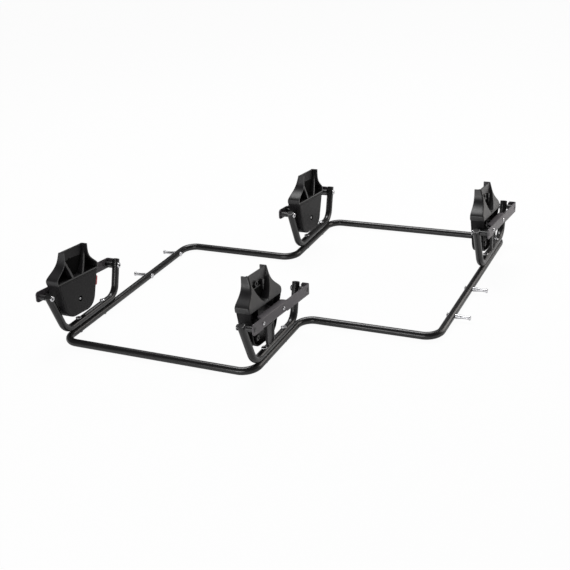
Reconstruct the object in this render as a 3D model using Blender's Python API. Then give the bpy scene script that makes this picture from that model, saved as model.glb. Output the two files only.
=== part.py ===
"""Twin seat-adapter frame for a side-by-side pushchair.

A stepped loop of round steel tube lies flat. Four U-shaped tube brackets are riveted on it, and each
carries a steel channel bar with a moulded seat adapter: a hollow tower, a lower casing, an inner shield
and a hinged release lever. Two pins on each side of the loop plug into the pushchair.

Frame: X across the pushchair, Y from front to rear, Z up. The origin is the middle of the bounding box,
on the plane that the part stands on. All sizes are real sizes in metres.
"""
import math

import bmesh
import bpy
from mathutils import Matrix, Vector

MM = 0.001

# Fits
GAP = 0.3 * MM                      # between two pieces that touch
HINGE_CLEARANCE = 0.3 * MM          # round the lever's pin
LEVER_SIDE_PLAY = 0.5 * MM          # at each end of the lever's barrel

# Loop of tube, measured on its centre line
SEAT_SPACING = 392 * MM             # between the two tubes that carry one seat
FRAME_WIDTH = 650 * MM              # over the outermost tubes
SEAT_DEPTH = 455 * MM               # length of the tube beside a seat
STAGGER = 207 * MM                  # how far the rear seat's bay stands back
TUBE_RADIUS = 7 * MM
TUBE_WALL = 1.5 * MM
LOOP_BEND_RADIUS = 28 * MM

# Brackets
FRONT_BRACKET_Y = 90.5 * MM         # middle of a front bracket's foot
REAR_BRACKET_SETBACK = 476 * MM     # from a front bracket to a rear one
FOOT_LENGTH = 158 * MM              # between the corners of the U
LEG_SPLAY = math.radians(19)        # of each leg, away from upright
BRACKET_TUBE_RADIUS = 7 * MM
BRACKET_TUBE_WALL = 1.5 * MM
BRACKET_BEND_RADIUS = 28 * MM
NEAR_RIVET_HEIGHT = 80.5 * MM       # of the bar's front rivet, above the foot's centre line
FAR_RIVET_HEIGHT = 56.5 * MM        # of the bar's rear rivet
NEAR_LEG_OVER_RIVET = 5.5 * MM      # tube left above the bar's front rivet
FAR_LEG_OVER_RIVET = 12 * MM        # and above its rear rivet
FOOT_RIVET_SPACING = 78 * MM

# Rivets
RIVET_RADIUS = 3 * MM
RIVET_HEAD_RADIUS = 5.5 * MM
RIVET_HEAD_HEIGHT = 2 * MM
RIVET_CROWN_RADIUS = 3.85 * MM      # flat top of the head
RIVET_RIM_HEIGHT = 0.8 * MM
RIVET_TAIL_HEIGHT = 1.5 * MM
RIVET_BORE_RADIUS = 2 * MM          # hollow end of a semi-tubular rivet
RIVET_BORE_DEPTH = 2.5 * MM
SPACER_RADIUS = 4.8 * MM            # stepped part of a bar rivet, which keeps the bar off the leg

# Pins that plug into the pushchair
PIN_INSET = 46 * MM                 # of the rear pin, in front of the seat bay's rear corner
PIN_SPACING = 116 * MM
PIN_REACH = 28 * MM                 # from the tube to the head's end
PIN_RADIUS = 2.9 * MM
PIN_HEAD_RADIUS = 4.3 * MM
PIN_HEAD_HEIGHT = 2.8 * MM
PIN_ROOT_RADIUS = 4.6 * MM           # the shank widens towards the tube
PIN_TAPER = 15 * MM

# Channel bar
BAR_HEIGHT = 20 * MM
BAR_SHEET = 2 * MM
BAR_END_RADIUS = 6 * MM             # corners of its front end
BAR_FACE = 24.5 * MM                # outer face, outward from the bracket's tube line
BAR_FLANGE = 12.4 * MM              # depth of the folded flanges
BAR_TAB = 16.2 * MM                 # depth of the tab folded in at the rear end
BAR_PAST_FRONT_RIVET = 6.5 * MM
BAR_PAST_REAR_RIVET = 7.5 * MM
FLANGE_START = 36 * MM              # flanges are cut back this far from the bar's front end
FLANGE_LENGTH = 92 * MM
BAR_SCREW_SPACING = 75.5 * MM

# Seat adapter, in its own frame: out from the tube line, along the bar, up square to the bar
ADAPTER_SETBACK = 68.8 * MM         # its middle, along the bar from the front rivet
TOWER_TOP = 75.4 * MM
TOWER_TOP_HALF_WIDTH = 35 * MM
TOWER_BASE_HALF_WIDTH = 61 * MM
FLARE_END = 29 * MM                 # height at which the sides have reached the base width
FLARE_POWER = 2.15
LIP_HEIGHT = 20.5 * MM
LIP_HALF_WIDTH = 59.5 * MM          # the sides tuck in again at the lip
LIP_TUCK = 3.5 * MM                 # height over which they do so
TOWER_LEVELS = 9
INNER_FACE = -16 * MM               # the seat's side of tower and shield
OUTER_FACE_TOP = -2.5 * MM           # outer face, at the tower's top
OUTER_FACE_LIP = 13 * MM            # outer face, at the lip
ADAPTER_WALL = 2.6 * MM
RECESS_TOP_HALF_WIDTH = 31 * MM     # shield-shaped recess in the tower's outer face
RECESS_FOOT_HALF_WIDTH = 6 * MM
RECESS_FOOT = 24.5 * MM
RECESS_POWER = 2.2
RECESS_LEVELS = 7
POCKET_TOP = 60 * MM                # the side pockets end here, under solid corners
PANEL_FACE = -3.5 * MM              # outer face of the upright panel behind the recess
CASING_INSET = 3.1 * MM             # casing's outline inside the tower's base
CASING_BOTTOM = -50 * MM
CASING_BOTTOM_HALF_WIDTH = 39 * MM  # where the straight sides would meet the bottom
CASING_CORNER_RADIUS = 28 * MM
CASING_OUTER_TOP = 10.5 * MM        # open outer rim of the casing, under the lip
CASING_OUTER_FOOT = 5.5 * MM        # the same rim at the bottom
DECK = 3 * MM                       # between tower and casing
BAR_BOSS_RADIUS = 5.5 * MM
CASE_BOSS_RADIUS = 5 * MM
CASE_BOSS_SPACING = 54 * MM
CASE_BOSS_HEIGHT = -33 * MM
CASE_BOSS_FACE = 7.5 * MM
CATCH_BOSS_OFFSET = -9.5 * MM       # round bored boss in the recess, along the bar
CATCH_BOSS_HEIGHT = 56.5 * MM
CATCH_BOSS_RADIUS = 5.2 * MM
CATCH_BOSS_DEPTH = 2.8 * MM
CATCH_HOLE_RADIUS = 2.6 * MM
KEEL_TOP = 58.5 * MM                # tapered lug beside the boss
KEEL_TIP = 40 * MM
KEEL_LEFT = 8.5 * MM
KEEL_RIGHT = 15.5 * MM
KEEL_TIP_LEFT = 9.8 * MM
KEEL_TIP_RIGHT = 12.2 * MM
KEEL_DEPTH = 4.5 * MM
KEEL_CORNER = 2.5 * MM
KEEL_HOLE_HEIGHT = 48.5 * MM
KEEL_HOLE_RADIUS = 1.2 * MM
STRIP_HEIGHT = 49.5 * MM            # thin rib under the boss
STRIP_WIDTH = 1.6 * MM
STRIP_START = -18 * MM
STRIP_END = 7 * MM
STRIP_DEPTH = 1.6 * MM

# Inner shield
SHIELD_THICKNESS = 2.6 * MM
SHIELD_EDGE = 1.2 * MM              # rounding of its seat-side edge
SHIELD_SCREW_HEIGHT = -21.5 * MM
SHIELD_SCREW_SINK = 1.4 * MM

# Self-tapping screws
SCREW_RADIUS = 1.9 * MM
SCREW_HEAD_RADIUS = 3.6 * MM
SCREW_CROWN_RADIUS = 2.7 * MM
SCREW_HEAD_HEIGHT = 1.6 * MM
BAR_SCREW_DEPTH = 12 * MM
SHIELD_SCREW_DEPTH = 6 * MM
SCREW_RECESS_RADIUS = 1.6 * MM
SCREW_RECESS_DEPTH = 0.9 * MM

# Release lever
LEVER_OFFSET = 5.5 * MM               # its middle, along the bar from the adapter's middle
LEVER_WIDTH = 26 * MM
LEVER_AXIS_OUT = 9.5 * MM
LEVER_AXIS_HEIGHT = -17.5 * MM
LEVER_BARREL_RADIUS = 3.6 * MM
LEVER_PIN_RADIUS = 1.5 * MM
LEVER_BOTTOM = -57 * MM
LEVER_CORNER_RADIUS = 10.5 * MM
LEVER_RIM_START = 5.4 * MM          # below the axis
LEVER_THICKNESS = 2.4 * MM
LEVER_FACE = 13.1 * MM              # outer face of the plate
LEVER_RIM = 2.2 * MM                # raised rim round the plate
LEVER_RIM_HEIGHT = 2.2 * MM
EAR_LENGTH = 5 * MM

# Red tell-tale on the front left adapter
TELL_TALE_BOTTOM = -13 * MM
TELL_TALE_TOP = 5 * MM
TELL_TALE_INNER = -12.6 * MM
TELL_TALE_OUTER = -7 * MM
TELL_TALE_PROUD = 8 * MM
TELL_TALE_ROOT = 7 * MM             # length inside the casing
TELL_TALE_CORNER = 2 * MM

# Facets
TUBE_SIDES = 12
BORE_SIDES = 8
ROUND_SIDES = 10
BEND_STEP = math.radians(18)
CUT_MARGIN = 2 * MM                 # how far a cutter runs past the face it opens

BRACKETS = {
    # name: (side of the frame's tube line in X, side that faces out, set back to the rear bay)
    "front_left": (0.0, -1, False),
    "front_right": (SEAT_SPACING, 1, False),
    "rear_left": (FRAME_WIDTH - SEAT_SPACING, -1, True),
    "rear_right": (FRAME_WIDTH, 1, True),
}

# Derived sizes
FOOT_HEIGHT = TUBE_RADIUS + GAP + BRACKET_TUBE_RADIUS
NEAR_LEG = NEAR_RIVET_HEIGHT / math.cos(LEG_SPLAY)
FAR_LEG = FAR_RIVET_HEIGHT / math.cos(LEG_SPLAY)
NEAR_RIVET_Y = -FOOT_LENGTH / 2 - NEAR_RIVET_HEIGHT * math.tan(LEG_SPLAY)
FAR_RIVET_Y = FOOT_LENGTH / 2 + FAR_RIVET_HEIGHT * math.tan(LEG_SPLAY)
BAR_PITCH = math.atan2(NEAR_RIVET_HEIGHT - FAR_RIVET_HEIGHT, FAR_RIVET_Y - NEAR_RIVET_Y)
BAR_HALF_SPAN = math.hypot(FAR_RIVET_Y - NEAR_RIVET_Y, NEAR_RIVET_HEIGHT - FAR_RIVET_HEIGHT) / 2
ADAPTER_OFFSET = ADAPTER_SETBACK - BAR_HALF_SPAN
PIN_FRONT_Y = SEAT_DEPTH - PIN_INSET - PIN_SPACING
BAR_INNER = BAR_FACE - BAR_SHEET
SHIELD_BACK = INNER_FACE + SHIELD_THICKNESS
CASING_INNER = SHIELD_BACK + GAP
PANEL_BACK = PANEL_FACE - ADAPTER_WALL
STANDING_HEIGHT = TUBE_RADIUS + GAP + RIVET_TAIL_HEIGHT


def clear_scene():
    """Remove every object of the scene."""
    for thing in list(bpy.data.objects):
        bpy.data.objects.remove(thing, do_unlink=True)


def make_material(name, colour, roughness, metallic):
    """One Principled finish."""
    material = bpy.data.materials.new(name)
    material.use_nodes = True
    shader = material.node_tree.nodes["Principled BSDF"]
    shader.inputs["Base Color"].default_value = (*colour, 1.0)
    shader.inputs["Roughness"].default_value = roughness
    shader.inputs["Metallic"].default_value = metallic
    material.diffuse_color = (*colour, 1.0)
    return material


def add_empty(name, parent=None, location=(0, 0, 0), rotation=(0, 0, 0)):
    """An axis that carries other pieces."""
    empty = bpy.data.objects.new(name, None)
    bpy.context.scene.collection.objects.link(empty)
    empty.empty_display_size = 20 * MM
    empty.parent = parent
    empty.location = location
    empty.rotation_euler = rotation
    return empty


def add_object(name, shape, parent, finish=None, hand=1, location=(0, 0, 0)):
    """Turn a bmesh into a named object. A left-hand piece is the right-hand one mirrored in X."""
    if hand < 0:
        bmesh.ops.scale(shape, vec=(-1, 1, 1), verts=shape.verts)
        bmesh.ops.reverse_faces(shape, faces=shape.faces)
    mesh = bpy.data.meshes.new(name)
    shape.to_mesh(mesh)
    shape.free()
    thing = bpy.data.objects.new(name, mesh)
    bpy.context.scene.collection.objects.link(thing)
    thing.parent = parent
    thing.location = location
    if finish:
        mesh.materials.append(finish)
    mesh.shade_smooth()
    mesh.set_sharp_from_angle(angle=math.radians(32))
    return thing


def boolean(thing, shape, operation, label, hand=1):
    """Join a shape to a piece, or cut it out, with a live Boolean modifier."""
    tool = add_object(f"{thing.name}_{label}", shape, thing.parent, hand=hand, location=thing.location)
    tool.hide_render = True
    tool.display_type = "WIRE"
    modifier = thing.modifiers.new(label, "BOOLEAN")
    modifier.object = tool
    modifier.operation = operation
    modifier.solver = "EXACT"
    modifier.use_self = True


def turned(profile, axis="Z", place=(0, 0, 0), sides=ROUND_SIDES, shape=None):
    """A closed turned body: (radius, height) points, first and last on the axis, spun once."""
    shape = shape or bmesh.new()
    corners = [shape.verts.new((radius, 0, height)) for radius, height in profile]
    edges = [shape.edges.new(pair) for pair in zip(corners, corners[1:])]
    before = set(shape.verts) - set(corners)
    bmesh.ops.spin(shape, geom=corners + edges, cent=(0, 0, 0), axis=(0, 0, 1),
                   angle=2 * math.pi, steps=sides, use_duplicate=False)
    fresh = [vert for vert in shape.verts if vert not in before]
    bmesh.ops.remove_doubles(shape, verts=fresh, dist=0.001 * MM)
    fresh = [vert for vert in shape.verts if vert not in before]
    faces = list({face for vert in fresh for face in vert.link_faces})
    bmesh.ops.recalc_face_normals(shape, faces=faces)
    turn = Matrix.Identity(4)
    if axis == "X":
        turn = Matrix.Rotation(math.pi / 2, 4, "Y")
    elif axis == "Y":
        turn = Matrix.Rotation(-math.pi / 2, 4, "X")
    bmesh.ops.transform(shape, matrix=Matrix.Translation(place) @ turn, verts=fresh)
    return shape


def rod(radius, low, high, axis, place, sides=ROUND_SIDES, shape=None):
    """A plain cylinder from low to high along an axis through place, flats at the given radius."""
    wide = radius / math.cos(math.pi / sides)
    return turned([(0, low), (wide, low), (wide, high), (0, high)], axis, place, sides, shape)


def rounded_outline(corners, radii, step=BEND_STEP):
    """Corners of a plane outline, anticlockwise, with each one rounded to its radius."""
    points = []
    count = len(corners)
    for index, corner in enumerate(corners):
        here = Vector(corner)
        back = (Vector(corners[index - 1]) - here).normalized()
        ahead = (Vector(corners[(index + 1) % count]) - here).normalized()
        radius = radii[index]
        if radius == 0:
            points.append(tuple(here))
            continue
        half = back.angle(ahead) / 2
        reach = radius / math.tan(half)
        centre = here + (back + ahead).normalized() * radius / math.sin(half)
        start = here + back * reach - centre
        sweep = math.pi - 2 * half
        if back.x * ahead.y - back.y * ahead.x > 0:
            sweep = -sweep
        steps = max(2, round(abs(sweep) / step))
        for number in range(steps + 1):
            angle = sweep * number / steps
            turned_x = start.x * math.cos(angle) - start.y * math.sin(angle)
            turned_y = start.x * math.sin(angle) + start.y * math.cos(angle)
            points.append((centre.x + turned_x, centre.y + turned_y))
    return points


def slab(outline, inner, outer, shape=None):
    """An outline in the (along, up) plane, filled between two planes across it.

    Each plane is a fixed distance out, or a function of the height.
    """
    shape = shape or bmesh.new()
    near = inner if callable(inner) else (lambda height: inner)
    far = outer if callable(outer) else (lambda height: outer)
    back = [shape.verts.new((near(up), along, up)) for along, up in outline]
    front = [shape.verts.new((far(up), along, up)) for along, up in outline]
    count = len(outline)
    faces = [shape.faces.new(front), shape.faces.new(list(reversed(back)))]
    for index in range(count):
        after = (index + 1) % count
        faces.append(shape.faces.new((back[index], back[after], front[after], front[index])))
    bmesh.ops.recalc_face_normals(shape, faces=faces)
    return shape


def box_outline(along_low, up_low, along_high, up_high):
    """A rectangle's corners, anticlockwise."""
    return [(along_low, up_low), (along_high, up_low), (along_high, up_high), (along_low, up_high)]


def bent_pipe(start, heading, normal, runs, radius, sides, shape, closed):
    """Sweep a ring along straight runs and round bends, as a pipe bender does.

    runs is a list of (straight length, bend angle, bend radius), with bends in the plane across normal.
    """
    place = Vector(start)
    heading = Vector(heading).normalized()
    normal = Vector(normal)
    side = normal.cross(heading)
    before = set(shape.verts)
    basis = Matrix((side, normal, heading)).transposed().to_4x4()
    ring = bmesh.ops.create_circle(shape, segments=sides, radius=radius,
                                   matrix=Matrix.Translation(place) @ basis)["verts"]
    first = ring
    edges = list({edge for vert in ring for edge in vert.link_edges})
    for length, angle, bend in runs:
        if length > 0:
            made = bmesh.ops.extrude_edge_only(shape, edges=edges)["geom"]
            verts = [item for item in made if isinstance(item, bmesh.types.BMVert)]
            bmesh.ops.translate(shape, vec=heading * length, verts=verts)
            edges = [item for item in made if isinstance(item, bmesh.types.BMEdge)
                     and all(vert in verts for vert in item.verts)]
            place = place + heading * length
        if angle:
            side = normal.cross(heading) * math.copysign(1, angle)
            centre = place + side * bend
            steps = max(1, round(abs(angle) / BEND_STEP))
            spun = bmesh.ops.spin(shape, geom=edges, cent=centre, axis=normal, angle=angle,
                                  steps=steps, use_duplicate=False)["geom_last"]
            edges = [item for item in spun if isinstance(item, bmesh.types.BMEdge)]
            turn = Matrix.Rotation(angle, 3, normal)
            place = centre + turn @ (place - centre)
            heading = turn @ heading
    fresh = [vert for vert in shape.verts if vert not in before]
    if closed:
        bmesh.ops.remove_doubles(shape, verts=fresh, dist=0.01 * MM)
    else:
        shape.faces.new(first)
        bmesh.ops.contextual_create(shape, geom=edges)
    fresh = [vert for vert in shape.verts if vert not in before]
    faces = list({face for vert in fresh for face in vert.link_faces})
    bmesh.ops.recalc_face_normals(shape, faces=faces)
    return faces


def loop_runs():
    """Straight runs and bends of the loop, from the middle of its front run, anticlockwise."""
    bend = LOOP_BEND_RADIUS
    quarter = math.pi / 2
    step_across = FRAME_WIDTH - SEAT_SPACING
    return [
        (SEAT_SPACING / 2 - bend, quarter, bend),
        (STAGGER - 2 * bend, -quarter, bend),
        (step_across - 2 * bend, quarter, bend),
        (SEAT_DEPTH - 2 * bend, quarter, bend),
        (SEAT_SPACING - 2 * bend, quarter, bend),
        (STAGGER - 2 * bend, -quarter, bend),
        (step_across - 2 * bend, quarter, bend),
        (SEAT_DEPTH - 2 * bend, quarter, bend),
        (SEAT_SPACING / 2 - bend, 0, bend),
    ]


def bracket_y(rear):
    """Middle of a bracket's foot."""
    return FRONT_BRACKET_Y + (REAR_BRACKET_SETBACK if rear else 0)


def pin_places():
    """Name, tube line, facing and Y of each pin that plugs into the pushchair."""
    places = []
    for side, line, facing in (("left", 0.0, -1), ("right", FRAME_WIDTH, 1)):
        for end, along in (("front", PIN_FRONT_Y), ("rear", PIN_FRONT_Y + PIN_SPACING)):
            places.append((f"stroller_pin_{side}_{end}", line, facing, along))
    return places


def make_frame(root, finish):
    """The stepped loop of tube, hollow, with its rivet and pin holes."""
    shape = bmesh.new()
    start = (SEAT_SPACING / 2, 0, 0)
    bent_pipe(start, (1, 0, 0), (0, 0, 1), loop_runs(), TUBE_RADIUS, TUBE_SIDES, shape, True)
    bore = bent_pipe(start, (1, 0, 0), (0, 0, 1), loop_runs(), TUBE_RADIUS - TUBE_WALL, BORE_SIDES,
                     shape, True)
    bmesh.ops.reverse_faces(shape, faces=bore)
    frame = add_object("frame_tube", shape, root, finish)
    holes = bmesh.new()
    reach = TUBE_RADIUS + CUT_MARGIN
    for line, _, rear in BRACKETS.values():
        for side in (-1, 1):
            place = (line, bracket_y(rear) + side * FOOT_RIVET_SPACING / 2, 0)
            rod(RIVET_RADIUS + GAP, -reach, reach, "Z", place, shape=holes)
    for _, line, _, along in pin_places():
        rod(PIN_RADIUS + GAP, -reach, reach, "X", (line, along, 0), shape=holes)
    boolean(frame, holes, "DIFFERENCE", "holes")


def make_bracket(name, foot, hand, finish):
    """The U of tube: a foot on the frame's tube and two splayed legs, the front one longer."""
    turn = math.pi / 2 - LEG_SPLAY
    tangent = BRACKET_BEND_RADIUS * math.tan(turn / 2)
    near_length = NEAR_LEG + NEAR_LEG_OVER_RIVET
    far_length = FAR_LEG + FAR_LEG_OVER_RIVET
    heading = Vector((0, math.sin(LEG_SPLAY), -math.cos(LEG_SPLAY)))
    corner = Vector((0, -FOOT_LENGTH / 2, 0))
    shape = bmesh.new()
    for radius, sides, end_wall in (
            (BRACKET_TUBE_RADIUS, TUBE_SIDES, 0.0),
            (BRACKET_TUBE_RADIUS - BRACKET_TUBE_WALL, BORE_SIDES, BRACKET_TUBE_WALL)):
        start = corner - heading * (near_length - end_wall)
        runs = [
            (near_length - end_wall - tangent, turn, BRACKET_BEND_RADIUS),
            (FOOT_LENGTH - 2 * tangent, turn, BRACKET_BEND_RADIUS),
            (far_length - end_wall - tangent, 0, BRACKET_BEND_RADIUS),
        ]
        faces = bent_pipe(start, heading, (1, 0, 0), runs, radius, sides, shape, False)
    bmesh.ops.reverse_faces(shape, faces=faces)
    bracket = add_object(f"{name}_bracket", shape, foot, finish, hand)
    reach = BRACKET_TUBE_RADIUS + CUT_MARGIN
    holes = bmesh.new()
    for side in (-1, 1):
        place = (0, side * FOOT_RIVET_SPACING / 2, 0)
        rod(RIVET_RADIUS + GAP, -reach, reach, "Z", place, shape=holes)
    for along, height in ((NEAR_RIVET_Y, NEAR_RIVET_HEIGHT), (FAR_RIVET_Y, FAR_RIVET_HEIGHT)):
        rod(RIVET_RADIUS + GAP, -reach, reach, "X", (0, along, height), shape=holes)
    boolean(bracket, holes, "DIFFERENCE", "holes", hand)


def rivet_head(top, facing):
    """Profile points of a domed, hollow rivet head whose seat is at top, from the axis outwards."""
    crown = top + facing * RIVET_HEAD_HEIGHT
    return [
        (0, crown - facing * RIVET_BORE_DEPTH),
        (RIVET_BORE_RADIUS, crown - facing * RIVET_BORE_DEPTH),
        (RIVET_BORE_RADIUS, crown),
        (RIVET_CROWN_RADIUS, crown),
        (RIVET_HEAD_RADIUS, top + facing * RIVET_RIM_HEIGHT),
        (RIVET_HEAD_RADIUS, top),
    ]


def make_foot_rivets(name, foot, finish):
    """Two upright rivets through the foot and the frame's tube; their tails are what it stands on."""
    top = BRACKET_TUBE_RADIUS + GAP
    bottom = -FOOT_HEIGHT - TUBE_RADIUS - GAP
    tail = bottom - RIVET_TAIL_HEIGHT
    for end, side in (("front", -1), ("rear", 1)):
        profile = rivet_head(top, 1) + [
            (RIVET_RADIUS, top),
            (RIVET_RADIUS, bottom),
            (RIVET_HEAD_RADIUS, bottom),
            (RIVET_HEAD_RADIUS, tail),
            (0, tail),
        ]
        shape = turned(profile)
        place = (0, side * FOOT_RIVET_SPACING / 2, 0)
        add_object(f"{name}_foot_rivet_{end}", shape, foot, finish, location=place)


def make_bar(name, bar_axis, hand, finish):
    """The channel bar: an upright web with a round front end, flanges and a folded rear end."""
    low = -BAR_HALF_SPAN - BAR_PAST_FRONT_RIVET
    high = BAR_HALF_SPAN + BAR_PAST_REAR_RIVET
    half = BAR_HEIGHT / 2
    web = rounded_outline(box_outline(low, -half, high, half), [BAR_END_RADIUS, 0, 0, BAR_END_RADIUS])
    shape = slab(web, BAR_INNER, BAR_FACE)
    bar = add_object(f"{name}_bar", shape, bar_axis, finish, hand)
    folds = bmesh.new()
    for bottom, top in ((half - BAR_SHEET, half), (-half, BAR_SHEET - half)):
        outline = box_outline(low + FLANGE_START, bottom, low + FLANGE_START + FLANGE_LENGTH, top)
        slab(outline, BAR_FACE - BAR_FLANGE, BAR_FACE - BAR_SHEET / 2, folds)
    tab = box_outline(high - BAR_SHEET, -half, high, half)
    slab(tab, BAR_FACE - BAR_TAB, BAR_FACE - BAR_SHEET / 2, folds)
    boolean(bar, folds, "UNION", "folds", hand)
    holes = bmesh.new()
    start = BAR_INNER - CUT_MARGIN
    end = BAR_FACE + CUT_MARGIN
    for along in (-BAR_HALF_SPAN, BAR_HALF_SPAN):
        rod(RIVET_RADIUS + GAP, start, end, "X", (0, along, 0), shape=holes)
    for along in bar_screw_places():
        rod(SCREW_RADIUS + GAP, start, end, "X", (0, along, 0), shape=holes)
    boolean(bar, holes, "DIFFERENCE", "holes", hand)


def bar_screw_places():
    """Where the two screws cross the bar."""
    return [ADAPTER_OFFSET + side * BAR_SCREW_SPACING / 2 for side in (-1, 1)]


def make_bar_rivets(name, bar_axis, hand, finish):
    """A stepped rivet through each leg and the bar."""
    seat = -BRACKET_TUBE_RADIUS - GAP
    step_start = BRACKET_TUBE_RADIUS + GAP
    step_end = BAR_INNER - GAP
    tail_seat = BAR_FACE + GAP
    tail = tail_seat + RIVET_TAIL_HEIGHT
    for end, along in (("front", -BAR_HALF_SPAN), ("rear", BAR_HALF_SPAN)):
        profile = rivet_head(seat, -1) + [
            (RIVET_RADIUS, seat),
            (RIVET_RADIUS, step_start),
            (SPACER_RADIUS, step_start),
            (SPACER_RADIUS, step_end),
            (RIVET_RADIUS, step_end),
            (RIVET_RADIUS, tail_seat),
            (RIVET_HEAD_RADIUS, tail_seat),
            (RIVET_HEAD_RADIUS, tail),
            (0, tail),
        ]
        shape = turned(profile, "X")
        add_object(f"{name}_bar_rivet_{end}", shape, bar_axis, finish, hand, (0, along, 0))


def screw_profile(seat, facing, depth):
    """Profile of a pan-head screw whose head sits at seat and whose shank runs the other way."""
    crown = seat + facing * SCREW_HEAD_HEIGHT
    return [
        (0, crown - facing * SCREW_RECESS_DEPTH),
        (SCREW_RECESS_RADIUS, crown - facing * SCREW_RECESS_DEPTH),
        (SCREW_RECESS_RADIUS, crown),
        (SCREW_CROWN_RADIUS, crown),
        (SCREW_HEAD_RADIUS, seat),
        (SCREW_RADIUS, seat),
        (SCREW_RADIUS, seat - facing * (depth - SCREW_RADIUS)),
        (0, seat - facing * depth),
    ]


def outer_face(height):
    """Outer face of the tower, which leans out from its top to the lip."""
    slope = (OUTER_FACE_LIP - OUTER_FACE_TOP) / (TOWER_TOP - LIP_HEIGHT)
    return OUTER_FACE_TOP + (TOWER_TOP - height) * slope


def tower_half_width(height):
    """Half the tower's width: a smooth bell curve from the top to the base, tucked in at the lip."""
    if height < LIP_HEIGHT + LIP_TUCK:
        share = (height - LIP_HEIGHT) / LIP_TUCK
        return LIP_HALF_WIDTH + (TOWER_BASE_HALF_WIDTH - LIP_HALF_WIDTH) * share
    if height <= FLARE_END:
        return TOWER_BASE_HALF_WIDTH
    part = ((TOWER_TOP - height) / (TOWER_TOP - FLARE_END)) ** FLARE_POWER
    ease = part * part * (3 - 2 * part)
    return TOWER_TOP_HALF_WIDTH + (TOWER_BASE_HALF_WIDTH - TOWER_TOP_HALF_WIDTH) * ease


def tower_heights():
    """Heights at which the tower's sides are cut into facets, from the lip to the top."""
    return [LIP_HEIGHT, LIP_HEIGHT + LIP_TUCK] + levels(FLARE_END, TOWER_TOP, TOWER_LEVELS)


def levels(low, high, count):
    """Evenly spaced heights, both ends among them."""
    return [low + (high - low) * step / count for step in range(count + 1)]


def recess_half_width(height):
    """Half the width of the shield-shaped recess, which is widest at the tower's top."""
    share = (height - RECESS_FOOT) / (TOWER_TOP - RECESS_FOOT)
    swell = 1 - (1 - min(max(share, 0), 1)) ** RECESS_POWER
    return RECESS_FOOT_HALF_WIDTH + (RECESS_TOP_HALF_WIDTH - RECESS_FOOT_HALF_WIDTH) * swell


def recess_outline(foot, top, grow):
    """The recess's outline between two heights, grown by some width on each side, anticlockwise."""
    right = [(recess_half_width(up) + grow, up) for up in levels(foot, top, RECESS_LEVELS)]
    return right + [(-half, up) for half, up in reversed(right)]


def tower_outline():
    """The bell-shaped outline of the tower, anticlockwise."""
    heights = tower_heights()
    right = [(tower_half_width(up), up) for up in heights]
    left = [(-tower_half_width(up), up) for up in reversed(heights)]
    return right + left


def casing_rim(height):
    """Open outer rim of the casing, which draws in towards the bottom."""
    share = (LIP_HEIGHT - height) / (LIP_HEIGHT - CASING_BOTTOM)
    return CASING_OUTER_TOP + (CASING_OUTER_FOOT - CASING_OUTER_TOP) * share


def casing_outline(inset, top):
    """The casing's outline: sides that draw in to a round bottom."""
    width = TOWER_BASE_HALF_WIDTH - CASING_INSET - inset
    foot = CASING_BOTTOM_HALF_WIDTH - inset
    bottom = CASING_BOTTOM + inset
    corners = [(-foot, bottom), (foot, bottom), (width, top), (-width, top)]
    radius = CASING_CORNER_RADIUS - inset
    return rounded_outline(corners, [radius, radius, 0, 0])


def tower_pockets(shape):
    """The recess in the outer face, and the three hollows that open to the seat's side."""
    over = TOWER_TOP + CUT_MARGIN
    past = INNER_FACE - CUT_MARGIN
    wall = ADAPTER_WALL
    slab(recess_outline(RECESS_FOOT, over, 0), PANEL_FACE, OUTER_FACE_LIP + CUT_MARGIN, shape)
    slab(recess_outline(RECESS_FOOT + 3 * wall, over, -wall), past, PANEL_BACK, shape)
    floor = LIP_HEIGHT + DECK
    outer = [floor] + [up for up in tower_heights() if floor < up < POCKET_TOP] + [POCKET_TOP]
    inner = levels(floor, POCKET_TOP, RECESS_LEVELS)
    for side in (-1, 1):
        outline = [(side * (tower_half_width(up) - wall), up) for up in outer]
        outline += [(side * (recess_half_width(up) + wall), up) for up in reversed(inner)]
        if side < 0:
            outline.reverse()
        slab(outline, past, lambda up: outer_face(up) - wall, shape)


def make_adapter(name, axis, hand, finish, tell_tale):
    """Tower and casing in one moulding."""
    shape = slab(tower_outline(), INNER_FACE, outer_face)
    adapter = add_object(f"{name}_adapter", shape, axis, finish, hand)
    casing = slab(casing_outline(0, LIP_HEIGHT + DECK / 2), CASING_INNER, casing_rim)
    boolean(adapter, casing, "UNION", "casing", hand)
    pockets = bmesh.new()
    tower_pockets(pockets)
    ceiling = LIP_HEIGHT
    slab(casing_outline(ADAPTER_WALL, ceiling), PANEL_FACE, OUTER_FACE_LIP + CUT_MARGIN, pockets)
    slab(casing_outline(ADAPTER_WALL, ceiling), CASING_INNER - CUT_MARGIN, PANEL_BACK, pockets)
    boolean(adapter, pockets, "DIFFERENCE", "pockets", hand)
    boolean(adapter, adapter_bosses(), "UNION", "bosses", hand)
    boolean(adapter, adapter_holes(tell_tale), "DIFFERENCE", "bores", hand)


def lever_ears():
    """Along-bar spans of the two ears that hold the lever's pin."""
    half = LEVER_WIDTH / 2 + LEVER_SIDE_PLAY
    return [(LEVER_OFFSET - half - EAR_LENGTH, LEVER_OFFSET - half),
            (LEVER_OFFSET + half, LEVER_OFFSET + half + EAR_LENGTH)]


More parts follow.
